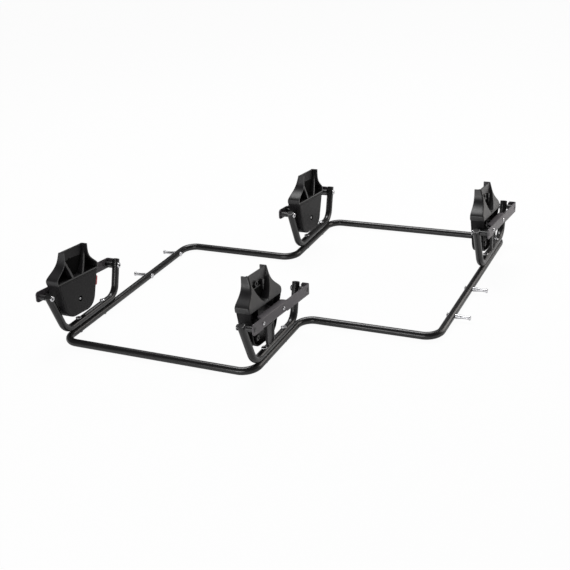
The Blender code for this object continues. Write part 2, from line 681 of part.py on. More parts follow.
def adapter_bosses():
    """Bosses for the screws, the boss, lug and rib in the recess and the ears of the lever."""
    shape = bmesh.new()
    root = PANEL_FACE - ADAPTER_WALL / 2
    sink = PANEL_BACK + ADAPTER_WALL / 2
    for along in (-BAR_SCREW_SPACING / 2, BAR_SCREW_SPACING / 2):
        rod(BAR_BOSS_RADIUS, root, BAR_INNER - GAP, "X", (0, along, 0), shape=shape)
    for side in (-1, 1):
        place = (0, side * CASE_BOSS_SPACING / 2, CASE_BOSS_HEIGHT)
        rod(CASE_BOSS_RADIUS, root, CASE_BOSS_FACE, "X", place, shape=shape)
    rod(CASE_BOSS_RADIUS, CASING_INNER, sink, "X", (0, 0, SHIELD_SCREW_HEIGHT), shape=shape)
    place = (0, CATCH_BOSS_OFFSET, CATCH_BOSS_HEIGHT)
    rod(CATCH_BOSS_RADIUS, root, PANEL_FACE + CATCH_BOSS_DEPTH, "X", place, shape=shape)
    corners = [(KEEL_TIP_LEFT, KEEL_TIP), (KEEL_TIP_RIGHT, KEEL_TIP), (KEEL_RIGHT, KEEL_TOP),
               (KEEL_LEFT, KEEL_TOP)]
    keel = rounded_outline(corners, [0, 0, KEEL_CORNER, KEEL_CORNER])
    slab(keel, root, PANEL_FACE + KEEL_DEPTH, shape)
    low = STRIP_HEIGHT - STRIP_WIDTH / 2
    strip = box_outline(STRIP_START, low, STRIP_END, low + STRIP_WIDTH)
    slab(strip, root, PANEL_FACE + STRIP_DEPTH, shape)
    reach = LEVER_BARREL_RADIUS
    for low, high in lever_ears():
        outline = box_outline(low, LEVER_AXIS_HEIGHT - reach, high, LEVER_AXIS_HEIGHT + reach)
        slab(outline, root, LEVER_AXIS_OUT + reach, shape)
    return shape


def adapter_holes(tell_tale):
    """Screw, catch and pin holes, and the notch that the lever hangs through."""
    shape = bmesh.new()
    deep = BAR_SCREW_DEPTH + GAP
    behind = PANEL_BACK - CUT_MARGIN
    before = PANEL_FACE + KEEL_DEPTH + CUT_MARGIN
    rod(CATCH_HOLE_RADIUS, behind, before, "X", (0, CATCH_BOSS_OFFSET, CATCH_BOSS_HEIGHT), shape=shape)
    place = (0, (KEEL_LEFT + KEEL_RIGHT) / 2, KEEL_HOLE_HEIGHT)
    rod(KEEL_HOLE_RADIUS, PANEL_FACE, before, "X", place, sides=BORE_SIDES, shape=shape)
    for along in (-BAR_SCREW_SPACING / 2, BAR_SCREW_SPACING / 2):
        rod(SCREW_RADIUS + GAP, BAR_FACE - deep, BAR_FACE, "X", (0, along, 0), shape=shape)
    for side in (-1, 1):
        place = (0, side * CASE_BOSS_SPACING / 2, CASE_BOSS_HEIGHT)
        rod(SCREW_RADIUS, PANEL_FACE + GAP, CASE_BOSS_FACE + CUT_MARGIN, "X", place, shape=shape)
    screw_end = INNER_FACE + SHIELD_SCREW_SINK + SHIELD_SCREW_DEPTH + GAP
    place = (0, 0, SHIELD_SCREW_HEIGHT)
    rod(SCREW_RADIUS + GAP, CASING_INNER - CUT_MARGIN, screw_end, "X", place, shape=shape)
    ears = lever_ears()
    place = (LEVER_AXIS_OUT, 0, LEVER_AXIS_HEIGHT)
    rod(LEVER_PIN_RADIUS + HINGE_CLEARANCE, ears[0][0] - CUT_MARGIN, ears[1][1] + CUT_MARGIN, "Y", place,
        shape=shape)
    if tell_tale:
        outline = tell_tale_outline(GAP, CUT_MARGIN)
        slab(outline, CASING_INNER - CUT_MARGIN, TELL_TALE_OUTER + GAP, shape)
    return shape


def casing_half_width(height):
    """Half the casing's width where its sides are straight."""
    top = LIP_HEIGHT + DECK / 2
    wide = TOWER_BASE_HALF_WIDTH - CASING_INSET
    share = (height - CASING_BOTTOM) / (top - CASING_BOTTOM)
    return CASING_BOTTOM_HALF_WIDTH + (wide - CASING_BOTTOM_HALF_WIDTH) * share


def tell_tale_outline(spare, extra):
    """The tell-tale's corners, anticlockwise, grown by some play all round and some length at each end."""
    low = TELL_TALE_BOTTOM - spare
    high = TELL_TALE_TOP + spare
    foot = casing_half_width(low)
    head = casing_half_width(high)
    root = foot - TELL_TALE_ROOT - extra
    return [(root, low), (foot + TELL_TALE_PROUD + extra, low), (head + TELL_TALE_PROUD + extra, high),
            (root, high)]


def make_tell_tale(name, axis, hand, finish):
    """A red tab that stands out of the casing's rear side, behind the shield."""
    outline = rounded_outline(tell_tale_outline(0, 0), [0, TELL_TALE_CORNER, TELL_TALE_CORNER, 0])
    shape = slab(outline, TELL_TALE_INNER, TELL_TALE_OUTER)
    add_object(f"{name}_tell_tale", shape, axis, finish, hand)


def make_shield(name, axis, hand, finish):
    """The smooth cover on the seat's side of the casing, with a sunk screw hole."""
    shape = slab(casing_outline(0, LIP_HEIGHT - GAP), INNER_FACE, SHIELD_BACK)
    rim = [edge for edge in shape.edges if all(vert.co.x < INNER_FACE + GAP for vert in edge.verts)]
    bmesh.ops.bevel(shape, geom=rim, offset=SHIELD_EDGE, segments=1, affect="EDGES", profile=0.5)
    shield = add_object(f"{name}_shield", shape, axis, finish, hand)
    holes = bmesh.new()
    place = (0, 0, SHIELD_SCREW_HEIGHT)
    sink = INNER_FACE + SHIELD_SCREW_SINK
    rod(SCREW_RADIUS + GAP, INNER_FACE, SHIELD_BACK + CUT_MARGIN, "X", place, shape=holes)
    rod(SCREW_HEAD_RADIUS + GAP, INNER_FACE - CUT_MARGIN, sink, "X", place, shape=holes)
    boolean(shield, holes, "DIFFERENCE", "holes", hand)


def make_screws(name, axis, hand, finish):
    """Two screws that hold the adapter on the bar, and one that holds the shield."""
    for end, side in (("front", -1), ("rear", 1)):
        shape = turned(screw_profile(BAR_FACE + GAP, 1, BAR_SCREW_DEPTH), "X", sides=8)
        place = (0, side * BAR_SCREW_SPACING / 2, 0)
        add_object(f"{name}_bar_screw_{end}", shape, axis, finish, hand, place)
    seat = INNER_FACE + SHIELD_SCREW_SINK - GAP
    shape = turned(screw_profile(seat, -1, SHIELD_SCREW_DEPTH), "X", sides=8)
    add_object(f"{name}_shield_screw", shape, axis, finish, hand, (0, 0, SHIELD_SCREW_HEIGHT))


def make_lever(name, axis, hand, plastic, steel):
    """The release lever and the pin that it swings on. The lever's origin is on the pin's axis."""
    half = LEVER_WIDTH / 2
    place = (hand * LEVER_AXIS_OUT, LEVER_OFFSET, LEVER_AXIS_HEIGHT)
    bottom = LEVER_BOTTOM - LEVER_AXIS_HEIGHT
    face = LEVER_FACE - LEVER_AXIS_OUT
    back = face - LEVER_THICKNESS
    corner = LEVER_CORNER_RADIUS
    plate = rounded_outline(box_outline(-half, bottom, half, 0), [corner, corner, 0, 0])
    shape = slab(plate, back, face)
    lever = add_object(f"{name}_lever", shape, axis, plastic, hand, place)
    extra = rod(LEVER_BARREL_RADIUS, -half, half, "Y", (0, 0, 0))
    boolean(lever, extra, "UNION", "barrel", hand)
    outline = rounded_outline(box_outline(-half, bottom, half, -LEVER_RIM_START), [corner, corner, 0, 0])
    rim = slab(outline, back + LEVER_THICKNESS / 2, face + LEVER_RIM_HEIGHT)
    boolean(lever, rim, "UNION", "rim", hand)
    inner = half - LEVER_RIM
    corner -= LEVER_RIM
    inside = box_outline(-inner, bottom + LEVER_RIM, inner, CUT_MARGIN)
    outline = rounded_outline(inside, [corner, corner, 0, 0])
    hollow = slab(outline, face, face + LEVER_RIM_HEIGHT + CUT_MARGIN)
    boolean(lever, hollow, "DIFFERENCE", "dish", hand)
    bore = rod(LEVER_PIN_RADIUS + HINGE_CLEARANCE, -half - CUT_MARGIN, half + CUT_MARGIN, "Y", (0, 0, 0))
    boolean(lever, bore, "DIFFERENCE", "bore", hand)
    ears = lever_ears()
    axle = (LEVER_AXIS_OUT, 0, LEVER_AXIS_HEIGHT)
    pin = rod(LEVER_PIN_RADIUS, ears[0][0], ears[1][1], "Y", axle, sides=BORE_SIDES)
    add_object(f"{name}_lever_pin", pin, axis, steel, hand)


def make_pins(root, finish):
    """Four headed pins, riveted through the loop's outer tubes."""
    inside = -TUBE_RADIUS - GAP
    outside = TUBE_RADIUS + GAP
    end = TUBE_RADIUS + PIN_REACH
    for name, line, facing, along in pin_places():
        profile = [
            (0, inside - RIVET_TAIL_HEIGHT),
            (RIVET_HEAD_RADIUS - 0.5 * MM, inside - RIVET_TAIL_HEIGHT),
            (RIVET_HEAD_RADIUS, inside),
            (PIN_RADIUS, inside),
            (PIN_RADIUS, outside),
            (PIN_ROOT_RADIUS, outside),
            (PIN_RADIUS, outside + PIN_TAPER),
            (PIN_RADIUS, end - PIN_HEAD_HEIGHT),
            (PIN_HEAD_RADIUS, end - PIN_HEAD_HEIGHT),
            (PIN_HEAD_RADIUS, end),
            (0, end),
        ]
        shape = turned(profile, "X", sides=12)
        add_object(name, shape, root, finish, facing, (line, along, 0))


def main():
    """Build the whole part."""
    clear_scene()
    tube_black = make_material("tube_black", (0.012, 0.012, 0.013), 0.22, 0.0)
    plastic_black = make_material("plastic_black", (0.022, 0.021, 0.023), 0.45, 0.0)
    bar_grey = make_material("bar_grey", (0.06, 0.056, 0.06), 0.38, 0.6)
    zinc = make_material("zinc", (0.72, 0.72, 0.73), 0.3, 1.0)
    red = make_material("tell_tale_red", (0.55, 0.02, 0.025), 0.35, 0.0)

    leg_end = NEAR_RIVET_Y - NEAR_LEG_OVER_RIVET * math.sin(LEG_SPLAY)
    leg_front = leg_end - BRACKET_TUBE_RADIUS * math.cos(LEG_SPLAY)
    front = min(FRONT_BRACKET_Y + leg_front, -TUBE_RADIUS)
    bar_middle = (NEAR_RIVET_Y + FAR_RIVET_Y) / 2
    leg_end = FAR_RIVET_Y + FAR_LEG_OVER_RIVET * math.sin(LEG_SPLAY)
    leg_rear = leg_end + BRACKET_TUBE_RADIUS * math.cos(LEG_SPLAY)
    rear = max(bracket_y(True) + leg_rear, SEAT_DEPTH + STAGGER + TUBE_RADIUS)
    root = add_empty("frame_axis", location=(-FRAME_WIDTH / 2, -(front + rear) / 2, STANDING_HEIGHT))

    make_frame(root, tube_black)
    make_pins(root, zinc)
    for name, (line, hand, at_rear) in BRACKETS.items():
        foot = add_empty(f"{name}_foot_axis", root, (line, bracket_y(at_rear), FOOT_HEIGHT))
        make_bracket(name, foot, hand, tube_black)
        make_foot_rivets(name, foot, zinc)
        middle = (0, bar_middle, (NEAR_RIVET_HEIGHT + FAR_RIVET_HEIGHT) / 2)
        bar_axis = add_empty(f"{name}_bar_axis", foot, middle, (-BAR_PITCH, 0, 0))
        make_bar(name, bar_axis, hand, bar_grey)
        make_bar_rivets(name, bar_axis, hand, zinc)
        adapter_axis = add_empty(f"{name}_adapter_axis", bar_axis, (0, ADAPTER_OFFSET, 0))
        tell_tale = name == "front_left"
        make_adapter(name, adapter_axis, hand, plastic_black, tell_tale)
        make_shield(name, adapter_axis, hand, plastic_black)
        make_screws(name, adapter_axis, hand, zinc)
        make_lever(name, adapter_axis, hand, plastic_black, zinc)
        if tell_tale:
            make_tell_tale(name, adapter_axis, hand, red)
    bpy.context.view_layer.update()


main()
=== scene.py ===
"""Finished surfaces of a twin seat-adapter frame for a side-by-side pushchair.

Smooth bent tubes, folded bars, moulded towers, rivets and screws take the place of the plain solids, and
a plain white stage with soft lamps stands round them. Sizes are in metres. A shape is worked out in the
frame of what carries it, as (out, along, up), and then placed in the part's own frame:

- a bracket's foot frame: out from the loop's tube line, along the tube, upright;
- a bar's frame: pitched down towards the rear with the bar, from the middle between its rivets;
- an adapter's frame: the bar's, from the adapter's middle.
"""
import math

import bmesh
import bpy
import numpy as np
from mathutils import Matrix, Vector


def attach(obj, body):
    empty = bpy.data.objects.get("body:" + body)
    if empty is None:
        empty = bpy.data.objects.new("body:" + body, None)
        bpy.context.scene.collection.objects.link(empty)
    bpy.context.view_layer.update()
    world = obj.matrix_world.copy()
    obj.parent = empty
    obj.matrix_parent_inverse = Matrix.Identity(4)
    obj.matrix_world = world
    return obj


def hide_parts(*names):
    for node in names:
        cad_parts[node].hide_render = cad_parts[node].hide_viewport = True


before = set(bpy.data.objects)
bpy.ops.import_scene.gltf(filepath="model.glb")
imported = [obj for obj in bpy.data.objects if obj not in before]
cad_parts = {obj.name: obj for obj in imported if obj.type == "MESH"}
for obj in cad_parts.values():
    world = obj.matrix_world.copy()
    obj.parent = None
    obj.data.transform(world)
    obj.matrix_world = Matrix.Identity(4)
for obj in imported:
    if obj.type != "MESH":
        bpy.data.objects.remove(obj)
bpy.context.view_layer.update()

bl_info = {
    "name": "Twin Seat Adapter Frame",
    "version": (1, 0, 0),
    "blender": (4, 5, 0),
    "location": "3D View > Sidebar > Adapter Frame",
    "description": "Builds the finished surfaces of a twin seat-adapter frame and a white stage for it",
    "category": "Add Mesh",
}

MM = 0.001


def mm(rows):
    """A table in millimetres, as an array in metres."""
    return np.array(rows, float) * MM


# Loop of tube
SEAT_SPACING = 392 * MM
FRAME_WIDTH = 650 * MM
SEAT_DEPTH = 455 * MM
STAGGER = 207 * MM
STANDING_HEIGHT = 8.8 * MM
LEFT = -FRAME_WIDTH / 2
TUBE_RADIUS = 7 * MM

# Brackets
FOOT_Y = 90.5 * MM
SETBACK = 476 * MM
FOOT_LENGTH = 158 * MM
FOOT_HEIGHT = 14.3 * MM
LEG_SPLAY = math.radians(19)
NEAR_RIVET_HEIGHT = 80.5 * MM
FAR_RIVET_HEIGHT = 56.5 * MM
NEAR_LEG_OVER_RIVET = 5.5 * MM
FAR_LEG_OVER_RIVET = 12 * MM
LEG_EDGE = 0.5 * MM
NEAR_RIVET_Y = -FOOT_LENGTH / 2 - NEAR_RIVET_HEIGHT * math.tan(LEG_SPLAY)
FAR_RIVET_Y = FOOT_LENGTH / 2 + FAR_RIVET_HEIGHT * math.tan(LEG_SPLAY)
FRONT_END = (FOOT_Y + NEAR_RIVET_Y - NEAR_LEG_OVER_RIVET * math.sin(LEG_SPLAY)
             - TUBE_RADIUS * math.cos(LEG_SPLAY))
REAR_END = (FOOT_Y + SETBACK + FAR_RIVET_Y + FAR_LEG_OVER_RIVET * math.sin(LEG_SPLAY)
            + TUBE_RADIUS * math.cos(LEG_SPLAY))
FRONT_Y = -(FRONT_END + REAR_END) / 2   # the loop's front tube; the part's middle is the origin
BRACKETS = {
    # name: (the loop's tube line in X, side that faces out, Y of the foot's middle)
    "front_left": (LEFT, -1, FRONT_Y + FOOT_Y),
    "front_right": (LEFT + SEAT_SPACING, 1, FRONT_Y + FOOT_Y),
    "rear_left": (-LEFT - SEAT_SPACING, -1, FRONT_Y + FOOT_Y + SETBACK),
    "rear_right": (-LEFT, 1, FRONT_Y + FOOT_Y + SETBACK),
}
ENDS = (("front", -1), ("rear", 1))
PLUG = mm([(0, -4), (5.4, -4), (5.4, 0.2), (4.9, 0.35), (0, 0.4)])
PLUG_EDGE = 0.2 * MM

# Bars
BAR_PITCH = math.atan2(NEAR_RIVET_HEIGHT - FAR_RIVET_HEIGHT, FAR_RIVET_Y - NEAR_RIVET_Y)
BAR_MIDDLE = ((NEAR_RIVET_Y + FAR_RIVET_Y) / 2, (NEAR_RIVET_HEIGHT + FAR_RIVET_HEIGHT) / 2)
HALF_SPAN = math.hypot(FAR_RIVET_Y - NEAR_RIVET_Y, NEAR_RIVET_HEIGHT - FAR_RIVET_HEIGHT) / 2
BAR_FACE = 24.5 * MM
BAR_HALF = 10 * MM
BAR_SHEET = 2 * MM
BAR_FOLD = 3 * MM
BAR_START = -HALF_SPAN - 6.5 * MM
BAR_END = HALF_SPAN + 7.5 * MM
BAR_NOSE = 6 * MM
FLANGE_START = BAR_START + 36 * MM
FLANGE_END = FLANGE_START + 92 * MM
FLANGE_DEPTH = 12.4 * MM
FLANGE_NOSE = 3 * MM
TAB_DEPTH = 16.2 * MM
TAB_NOSE = 3 * MM
BAR_EDGE = 0.35 * MM
BAR_SCREW_SPACING = 75.5 * MM
BAR_SCREW_SEAT = BAR_FACE + 0.2 * MM

# Rivets: profiles of (radius, height), from a head's seat
FOOT_RIVET_SPACING = 78 * MM
RIVET_SEAT = TUBE_RADIUS + 0.3 * MM
RIVET_HEAD = mm([(0, -0.2), (1.7, -0.2), (1.9, 1.2), (2.5, 2), (3.9, 2), (5.3, 1.1), (5.5, 0.3), (5.2, 0)])
RIVET_SHANK = 3 * MM
RIVET_EDGE = 0.35 * MM
HEAD_SHANK_END = 1 * MM
FOOT_TAIL = (3.4 * MM, 1.5 * MM)   # radius and height of the flattened tail
BAR_TAIL = (4.6 * MM, 0.7 * MM)
TAIL_EDGE = 0.3 * MM
SPACER_START = 2 * MM
SPACER_RADIUS = 4.8 * MM
SPACER_END = BAR_FACE - BAR_SHEET - 0.2 * MM
BAR_TAIL_SEAT = BAR_FACE + 0.1 * MM
RIVET_BORE = 2.1 * MM
RIVET_BORE_MIDDLE = RIVET_SEAT + 0.6 * MM

# Pushchair pins: profiles of (radius, distance out from the tube's middle)
PIN = mm([(0, 0), (2.9, 0), (2.9, 6.9), (4.6, 7.1), (4.2, 10.5), (2.9, 22.3), (2.9, 32.2), (4.3, 32.4),
          (4.3, 35), (2, 35), (0, 34.4)])
PIN_EDGE = 0.6 * MM
PIN_HEAD = mm([(0, -8.8), (4.6, -8.8), (5.2, -7.3), (2.9, -7.3), (2.9, -1), (0, -1)])
PIN_HEAD_EDGE = 0.5 * MM
FRONT_PIN_Y = FRONT_Y + 293 * MM
REAR_PIN_Y = FRONT_Y + 409 * MM
PINS = {
    # name: (the loop's tube line in X, side that faces out, Y)
    "stroller_pin_left_front": (LEFT, -1, FRONT_PIN_Y),
    "stroller_pin_left_rear": (LEFT, -1, REAR_PIN_Y),
    "stroller_pin_right_front": (-LEFT, 1, FRONT_PIN_Y),
    "stroller_pin_right_rear": (-LEFT, 1, REAR_PIN_Y),
}

# Adapter: tower
ADAPTER_OFFSET = 68.8 * MM - HALF_SPAN
TOWER_TOP = 75.4 * MM
TOP_HALF = 35 * MM
BASE_HALF = 61 * MM
FLARE_END = 29 * MM
FLARE_POWER = 2.15
LIP = 20.5 * MM
LIP_TUCK = 1.8 * MM
LIP_TUCK_HEIGHT = 9 * MM
DECK_TOP = 23.5 * MM
DECK_SETBACK = 2.6 * MM
DECK_CORNER = 3 * MM
INNER = -16 * MM
FACE_TOP = -2.5 * MM
FACE_LIP = 13 * MM
WALL = 2.6 * MM
PANEL = -3.5 * MM
WALL_CORNER = 0.8 * MM
RECESS_FOOT = 24.5 * MM
RECESS_TOP_HALF = 31 * MM
RECESS_FOOT_HALF = 6 * MM
RECESS_POWER = 2.2
RECESS_STEP = 1.3 * MM
RECESS_RUN = 1.6 * MM
CORNER_START = 60 * MM
CORNER_BACK = INNER + 6.8 * MM
CORNER_SIDES = (28.6 * MM, 33.4 * MM)
RIB_LIP_SPREAD = 13 * MM
RIB_SPREAD_GROWTH = 17 * MM
RIB_SPREAD_LIMIT = 32.5 * MM
RIB_SETBACK = 0.8 * MM
RIB_SLANT = 5.5 * MM
RIB_TOP = TOWER_TOP - 1.5 * MM
POCKET_TOP = 57.5 * MM
POCKET_ARCH = 2.5 * MM
POCKET_GAP = 0.3 * MM
SHADE_THICKNESS = 0.5 * MM   # thickness of the sheets and discs that paint shade in a bore or pocket
CATCH_BOSS = (0, -9.5 * MM, 56.5 * MM)
KEEL = mm([(9.8, 40), (12.2, 40), (15.5, 58.5), (8.5, 58.5)])
KEEL_CORNERS = mm([0.9, 0.9, 2.5, 2.5])
KEEL_DEPTH = 4.5 * MM
# The lug's hole is only a disc of painted shade at this place.
KEEL_HOLE_SHADE = (0, 12 * MM, 48.5 * MM)
STRIP = mm([(-18, 48.7), (7, 48.7), (7, 50.3), (-18, 50.3)])
STRIP_DEPTH = 1.6 * MM
LAP = 0.5 * MM   # how far one moulded form runs into another
HAIR = 0.2 * MM   # keeps two faces out of one plane

# Adapter: casing and shield
CASING_INNER = -13.1 * MM
CASING_BOTTOM = -50 * MM
CASING_FOOT_HALF = 39 * MM
CASING_TOP_HALF = 57.9 * MM
CASING_CORNER = 28 * MM
CASING_WALL = 2.2 * MM
PANEL_GAP = 1 * MM
PANEL_CURVE = 10 * MM   # levels lie closer together up to here
PANEL_STRAIGHT = 14 * MM
CASING_RIBS = mm([-45, -21, 35])
CASING_RIB = 1.8 * MM
CASING_RIB_SETBACK = 3.5 * MM
CASING_RIB_CUT = 3 * MM
CASING_RIB_CUT_HEIGHT = 20 * MM
RIM_TOP = 10.5 * MM
RIM_FOOT = 5.5 * MM
BOSS_EDGE = 0.4 * MM
BOSS_FILLET = 0.5 * MM
BOSS_ROOT = PANEL - 0.6 * MM
CASING_BOSS_ALONG = 27 * MM
CASING_BOSS_UP = -33 * MM
SHIELD_SCREW = -21.5 * MM
SHIELD_TOP = LIP - 0.3 * MM
SHIELD_TOP_CORNER = 1.5 * MM
SHIELD_THICKNESS = 2.6 * MM
SHIELD_EDGE = 1.3 * MM
SHIELD_CIRCLES = mm([0, 1.2, 3.4, 4.8, 5, 5.2, 5.4, 5.6, 6, 6.6])
SHIELD_SHARES = np.array([0.08, 0.18, 0.3, 0.44, 0.58, 0.72, 0.86])
SHIELD_INSETS = mm([4.6, 4.2, 3.9, 3.6, 3.3, 2.9, 2, 1.3, 0.9, 0.55, 0.3, 0.12, 0.03, 0])
SHIELD_STEP = 0.45 * MM
SHIELD_BORDER = 4.2 * MM
SHIELD_SLOPE = 0.8 * MM
SCREW_SINK = 2.2 * MM
SCREW_WELL = 4.8 * MM
SCREW_WELL_SLOPE = 0.6 * MM
SHIELD_SCREW_SEAT = INNER + 2.1 * MM
# A cup of painted shade round the shield's screw: (radius, height above the shield's face)
SCREW_SHADE_CUP = mm([(0, 2.6), (5.3, 2.6), (5.3, 0.3), (4.8, 0.3), (4.8, 2.1), (0, 2.1)])

# Release lever
LEVER_OFFSET = 5.5 * MM
LEVER_HALF = 13 * MM
LEVER_AXIS_OUT = 9.5 * MM
LEVER_AXIS_UP = -17.5 * MM
LEVER_BOTTOM = -57 * MM
LEVER_FACE = 13.1 * MM
LEVER_THICKNESS = 2.4 * MM
LEVER_CORNERS = mm([11.5, 11.5, 1, 1])
LEVER_CIRCLES = mm([0, 3, 5])
LEVER_SHARES = np.linspace(0.15, 0.9, 5)
LEVER_INSETS = mm([4.2, 3.8, 3.4, 3, 2.6, 2.2, 1.4, 0.7, 0.45, 0.25, 0.1, 0.02, 0])
LEVER_RIM = 2.2 * MM
LEVER_RIM_WIDTH = 4 * MM
LEVER_RIM_SLOPE = 1.8 * MM
LEVER_EDGE = 0.7 * MM
BARREL_RADIUS = 3.6 * MM
BARREL_EDGE = 0.4 * MM
AXLE_RADIUS = 1.5 * MM
AXLE_EDGE = 0.3 * MM
EAR_REACH = 3.8 * MM
EAR_GAP = 0.5 * MM
EAR_WIDTH = 5 * MM

# Red tab, on the casing's flank
TELL_TALE_UP = (-13 * MM, 5 * MM)
TELL_TALE_OUT = (-12.6 * MM, -7 * MM)
TELL_TALE_REACH = (-6.5 * MM, 8 * MM)
TELL_TALE_CORNER = 3 * MM
TELL_TALE_EDGE = 0.8 * MM

# Meshes
WELD = 2e-6
SLIVER = 1e-7
SHARP_EDGE = math.radians(38)
CAP_LEVELS = 6
SOFT_SHARE = 0.45   # of a run, at most, that a rounded corner takes up
SOFT_STEP = math.radians(18)

# Finishes
FINISHES = {
    # name: (setting with its colour, factors of its two tones, roughness and its spread, other values)
    "gloss_coat": ("coat", (1, 1.6), (0.3, 0.08),
                   dict(coat=0.2, coat_roughness=0.24, specular=0.42, grain=(400, 90, 0.5), bump=0.004)),
    "satin_moulding": ("moulding", (1, 1.9), (0.42, 0.1),
                       dict(specular=0.65, grain=(2200, 500, 0.3), depth=0.15 * MM)),
    # Lower gloss for a duller plastic, and a darker first tone (0.8 of the colour) that paints shade on the
    # casing, shield, plugs and corner blocks.
    "matt_moulding": ("moulding", (0.8, 1.5), (0.5, 0.12),
                      dict(specular=0.2, grain=(2200, 500, 0.3), bump=0.08, depth=0.15 * MM)),
    "bar_coat": ("bar", (1, 1.45), (0.45, 0.16),
                 dict(metallic=0.1, cloud=30, grain=(1300, 300, 0.5), bump=0.1)),
    "zinc_plate": ("zinc", (1, 0.72), (0.26, 0.16),
                   dict(metallic=1, cloud=120, grain=(1800, 400, 0.5), bump=0.06, depth=0.1 * MM)),
    "pin_steel": ("zinc", (0.95, 0.75), (0.34, 0.14),
                  dict(metallic=1, cloud=120, grain=(1800, 400, 0.5), depth=0.1 * MM)),
    "tell_tale_red": ("red", (1, 0.8), (0.45, 0.08), {}),
    "bore_shadow": ("shadow", (1, 5 / 3), (0.8, 0.1), dict(specular=0.04)),
}
USUAL_FINISH = dict(metallic=0, coat=0, coat_roughness=0.05, specular=0.5, cloud=14,
                    grain=(1500, 260, 0.4), bump=0.05, depth=0.2 * MM)
CLOUD_SHARE = 0.75

# Stage
FLOOR_HALF = 12
FLOOR_WHITENESS = 0.965
MIRRORED_FLOOR = 0.4
ROOM_LIGHT = 0.12
CAMERA_PLACE = (LEFT + 1.1159, FRONT_Y - 1.2363, STANDING_HEIGHT + 0.8323)
SENSOR = 36
PART_MIDDLE = (0, 0, 0.05)
WHITE = (1, 1, 1)
LAMPS = (
    # name, place, point that it faces, width, height, power, colour
    ("overhead_softbox", (-0.5, 0.9, 2.2), PART_MIDDLE, 1.6, 1.0, 46, WHITE),
    ("front_softbox", (-0.1, -1.75, 0.32), PART_MIDDLE, 1.1, 0.4, 10, WHITE),
    ("side_softbox", (1.0, 0.75, 0.45), (0.33, 0.3, 0.1), 0.9, 0.7, 5.6, (1, 0.96, 0.92)),
)


class TubeSettings(bpy.types.PropertyGroup):
    """Sizes of the bent tubes."""

    radius: bpy.props.FloatProperty(
        name="Tube radius", description="Outer radius of the loop and of the brackets",
        default=TUBE_RADIUS, min=3 * MM, max=20 * MM, unit="LENGTH")
    loop_bend: bpy.props.FloatProperty(
        name="Loop bend", description="Radius of the loop's bends, on the tube's centre line",
        default=28 * MM, min=10 * MM, max=80 * MM, unit="LENGTH")
    bracket_bend: bpy.props.FloatProperty(
        name="Bracket bend", description="Radius of the brackets' bends, on the tube's centre line",
        default=28 * MM, min=10 * MM, max=60 * MM, unit="LENGTH")
    sides: bpy.props.IntProperty(
        name="Sides", description="Facets round a tube", default=40, min=12, max=96)


class MouldingSettings(bpy.types.PropertyGroup):
    """Sizes of the moulded pieces."""

    edge: bpy.props.FloatProperty(
        name="Edge radius", description="Rounding of the mouldings' edges",
        default=0.5 * MM, min=0.1 * MM, max=1 * MM, unit="LENGTH")
    corner: bpy.props.FloatProperty(
        name="Tower corner", description="Radius of the upright corners of a tower",
        default=3.2 * MM, min=1 * MM, max=6 * MM, unit="LENGTH")
    rib: bpy.props.FloatProperty(
        name="Rib thickness", description="Thickness of the ribs inside a tower",
        default=4.8 * MM, min=1 * MM, max=8 * MM, unit="LENGTH")


class FinishSettings(bpy.types.PropertyGroup):
    """Colours of the finishes."""

    coat: bpy.props.FloatVectorProperty(
        name="Tube coat", description="Gloss powder coat of the tubes", subtype="COLOR",
        size=3, default=(0.006, 0.0058, 0.0062), min=0, max=1)
    moulding: bpy.props.FloatVectorProperty(
        name="Moulding", description="Satin plastic of the adapters", subtype="COLOR",
        size=3, default=(0.0065, 0.006, 0.0068), min=0, max=1)
    bar: bpy.props.FloatVectorProperty(
        name="Bar coat", description="Satin coat of the channel bars", subtype="COLOR",
        size=3, default=(0.08, 0.073, 0.08), min=0, max=1)
    zinc: bpy.props.FloatVectorProperty(
        name="Zinc", description="Bright plate of pins, rivets and screws", subtype="COLOR",
        size=3, default=(0.74, 0.74, 0.76), min=0, max=1)
    red: bpy.props.FloatVectorProperty(
        name="Tell-tale", description="Red plastic of the tell-tale tab", subtype="COLOR",
        size=3, default=(0.47, 0.03, 0.04), min=0, max=1)
    # Near-black of the painted shade put in bores and pockets.
    shadow: bpy.props.FloatVectorProperty(
        name="Bore", description="Dark inside of bores and pockets", subtype="COLOR",
        size=3, default=(0.003, 0.003, 0.003), min=0, max=1)


class StageSettings(bpy.types.PropertyGroup):
    """Camera and floor."""

    azimuth: bpy.props.FloatProperty(
        name="Azimuth", description="Turn of the camera round the part, from behind the front",
        subtype="ANGLE", default=math.radians(27.59))
    elevation: bpy.props.FloatProperty(
        name="Elevation", description="Height of the camera above the horizon",
        subtype="ANGLE", default=math.radians(25.24))
    roll: bpy.props.FloatProperty(
        name="Roll", description="Turn of the camera about its own axis",
        subtype="ANGLE", default=math.radians(5.21))
    lens: bpy.props.FloatProperty(
        name="Lens", description="Focal length on a 36 mm sensor, in millimetres", default=61.97)
    floor: bpy.props.FloatVectorProperty(
        name="Floor", description="Colour of the floor", subtype="COLOR",
        size=3, default=(0.82, 0.82, 0.82), min=0, max=1)


# Surfaces: grids of points, worked out as whole arrays

def quads(rows, cols, wrap_rows=False, wrap_cols=False):
    """Corner numbers of the quads between neighbouring points of a rows by cols grid."""
    row = np.arange(rows if wrap_rows else rows - 1)[:, None]
    col = np.arange(cols if wrap_cols else cols - 1)[None, :]
    below, right = (row + 1) % rows, (col + 1) % cols
    corners = (row * cols + col, row * cols + right, below * cols + right, below * cols + col)
    return np.stack(np.broadcast_arrays(*corners), axis=-1).reshape(-1, 4)


def grid(out, along, up):
    """A grid of points from three arrays or numbers, spread to one shape."""
    return np.stack(np.broadcast_arrays(out, along, up), axis=-1)


def closed_grid(points, wrap_rows=False):
    """A grid of points, (rows, cols, 3), as one surface whose rows are closed rings."""
    rows, cols = points.shape[:2]
    return points.reshape(-1, 3), quads(rows, cols, wrap_rows, True)


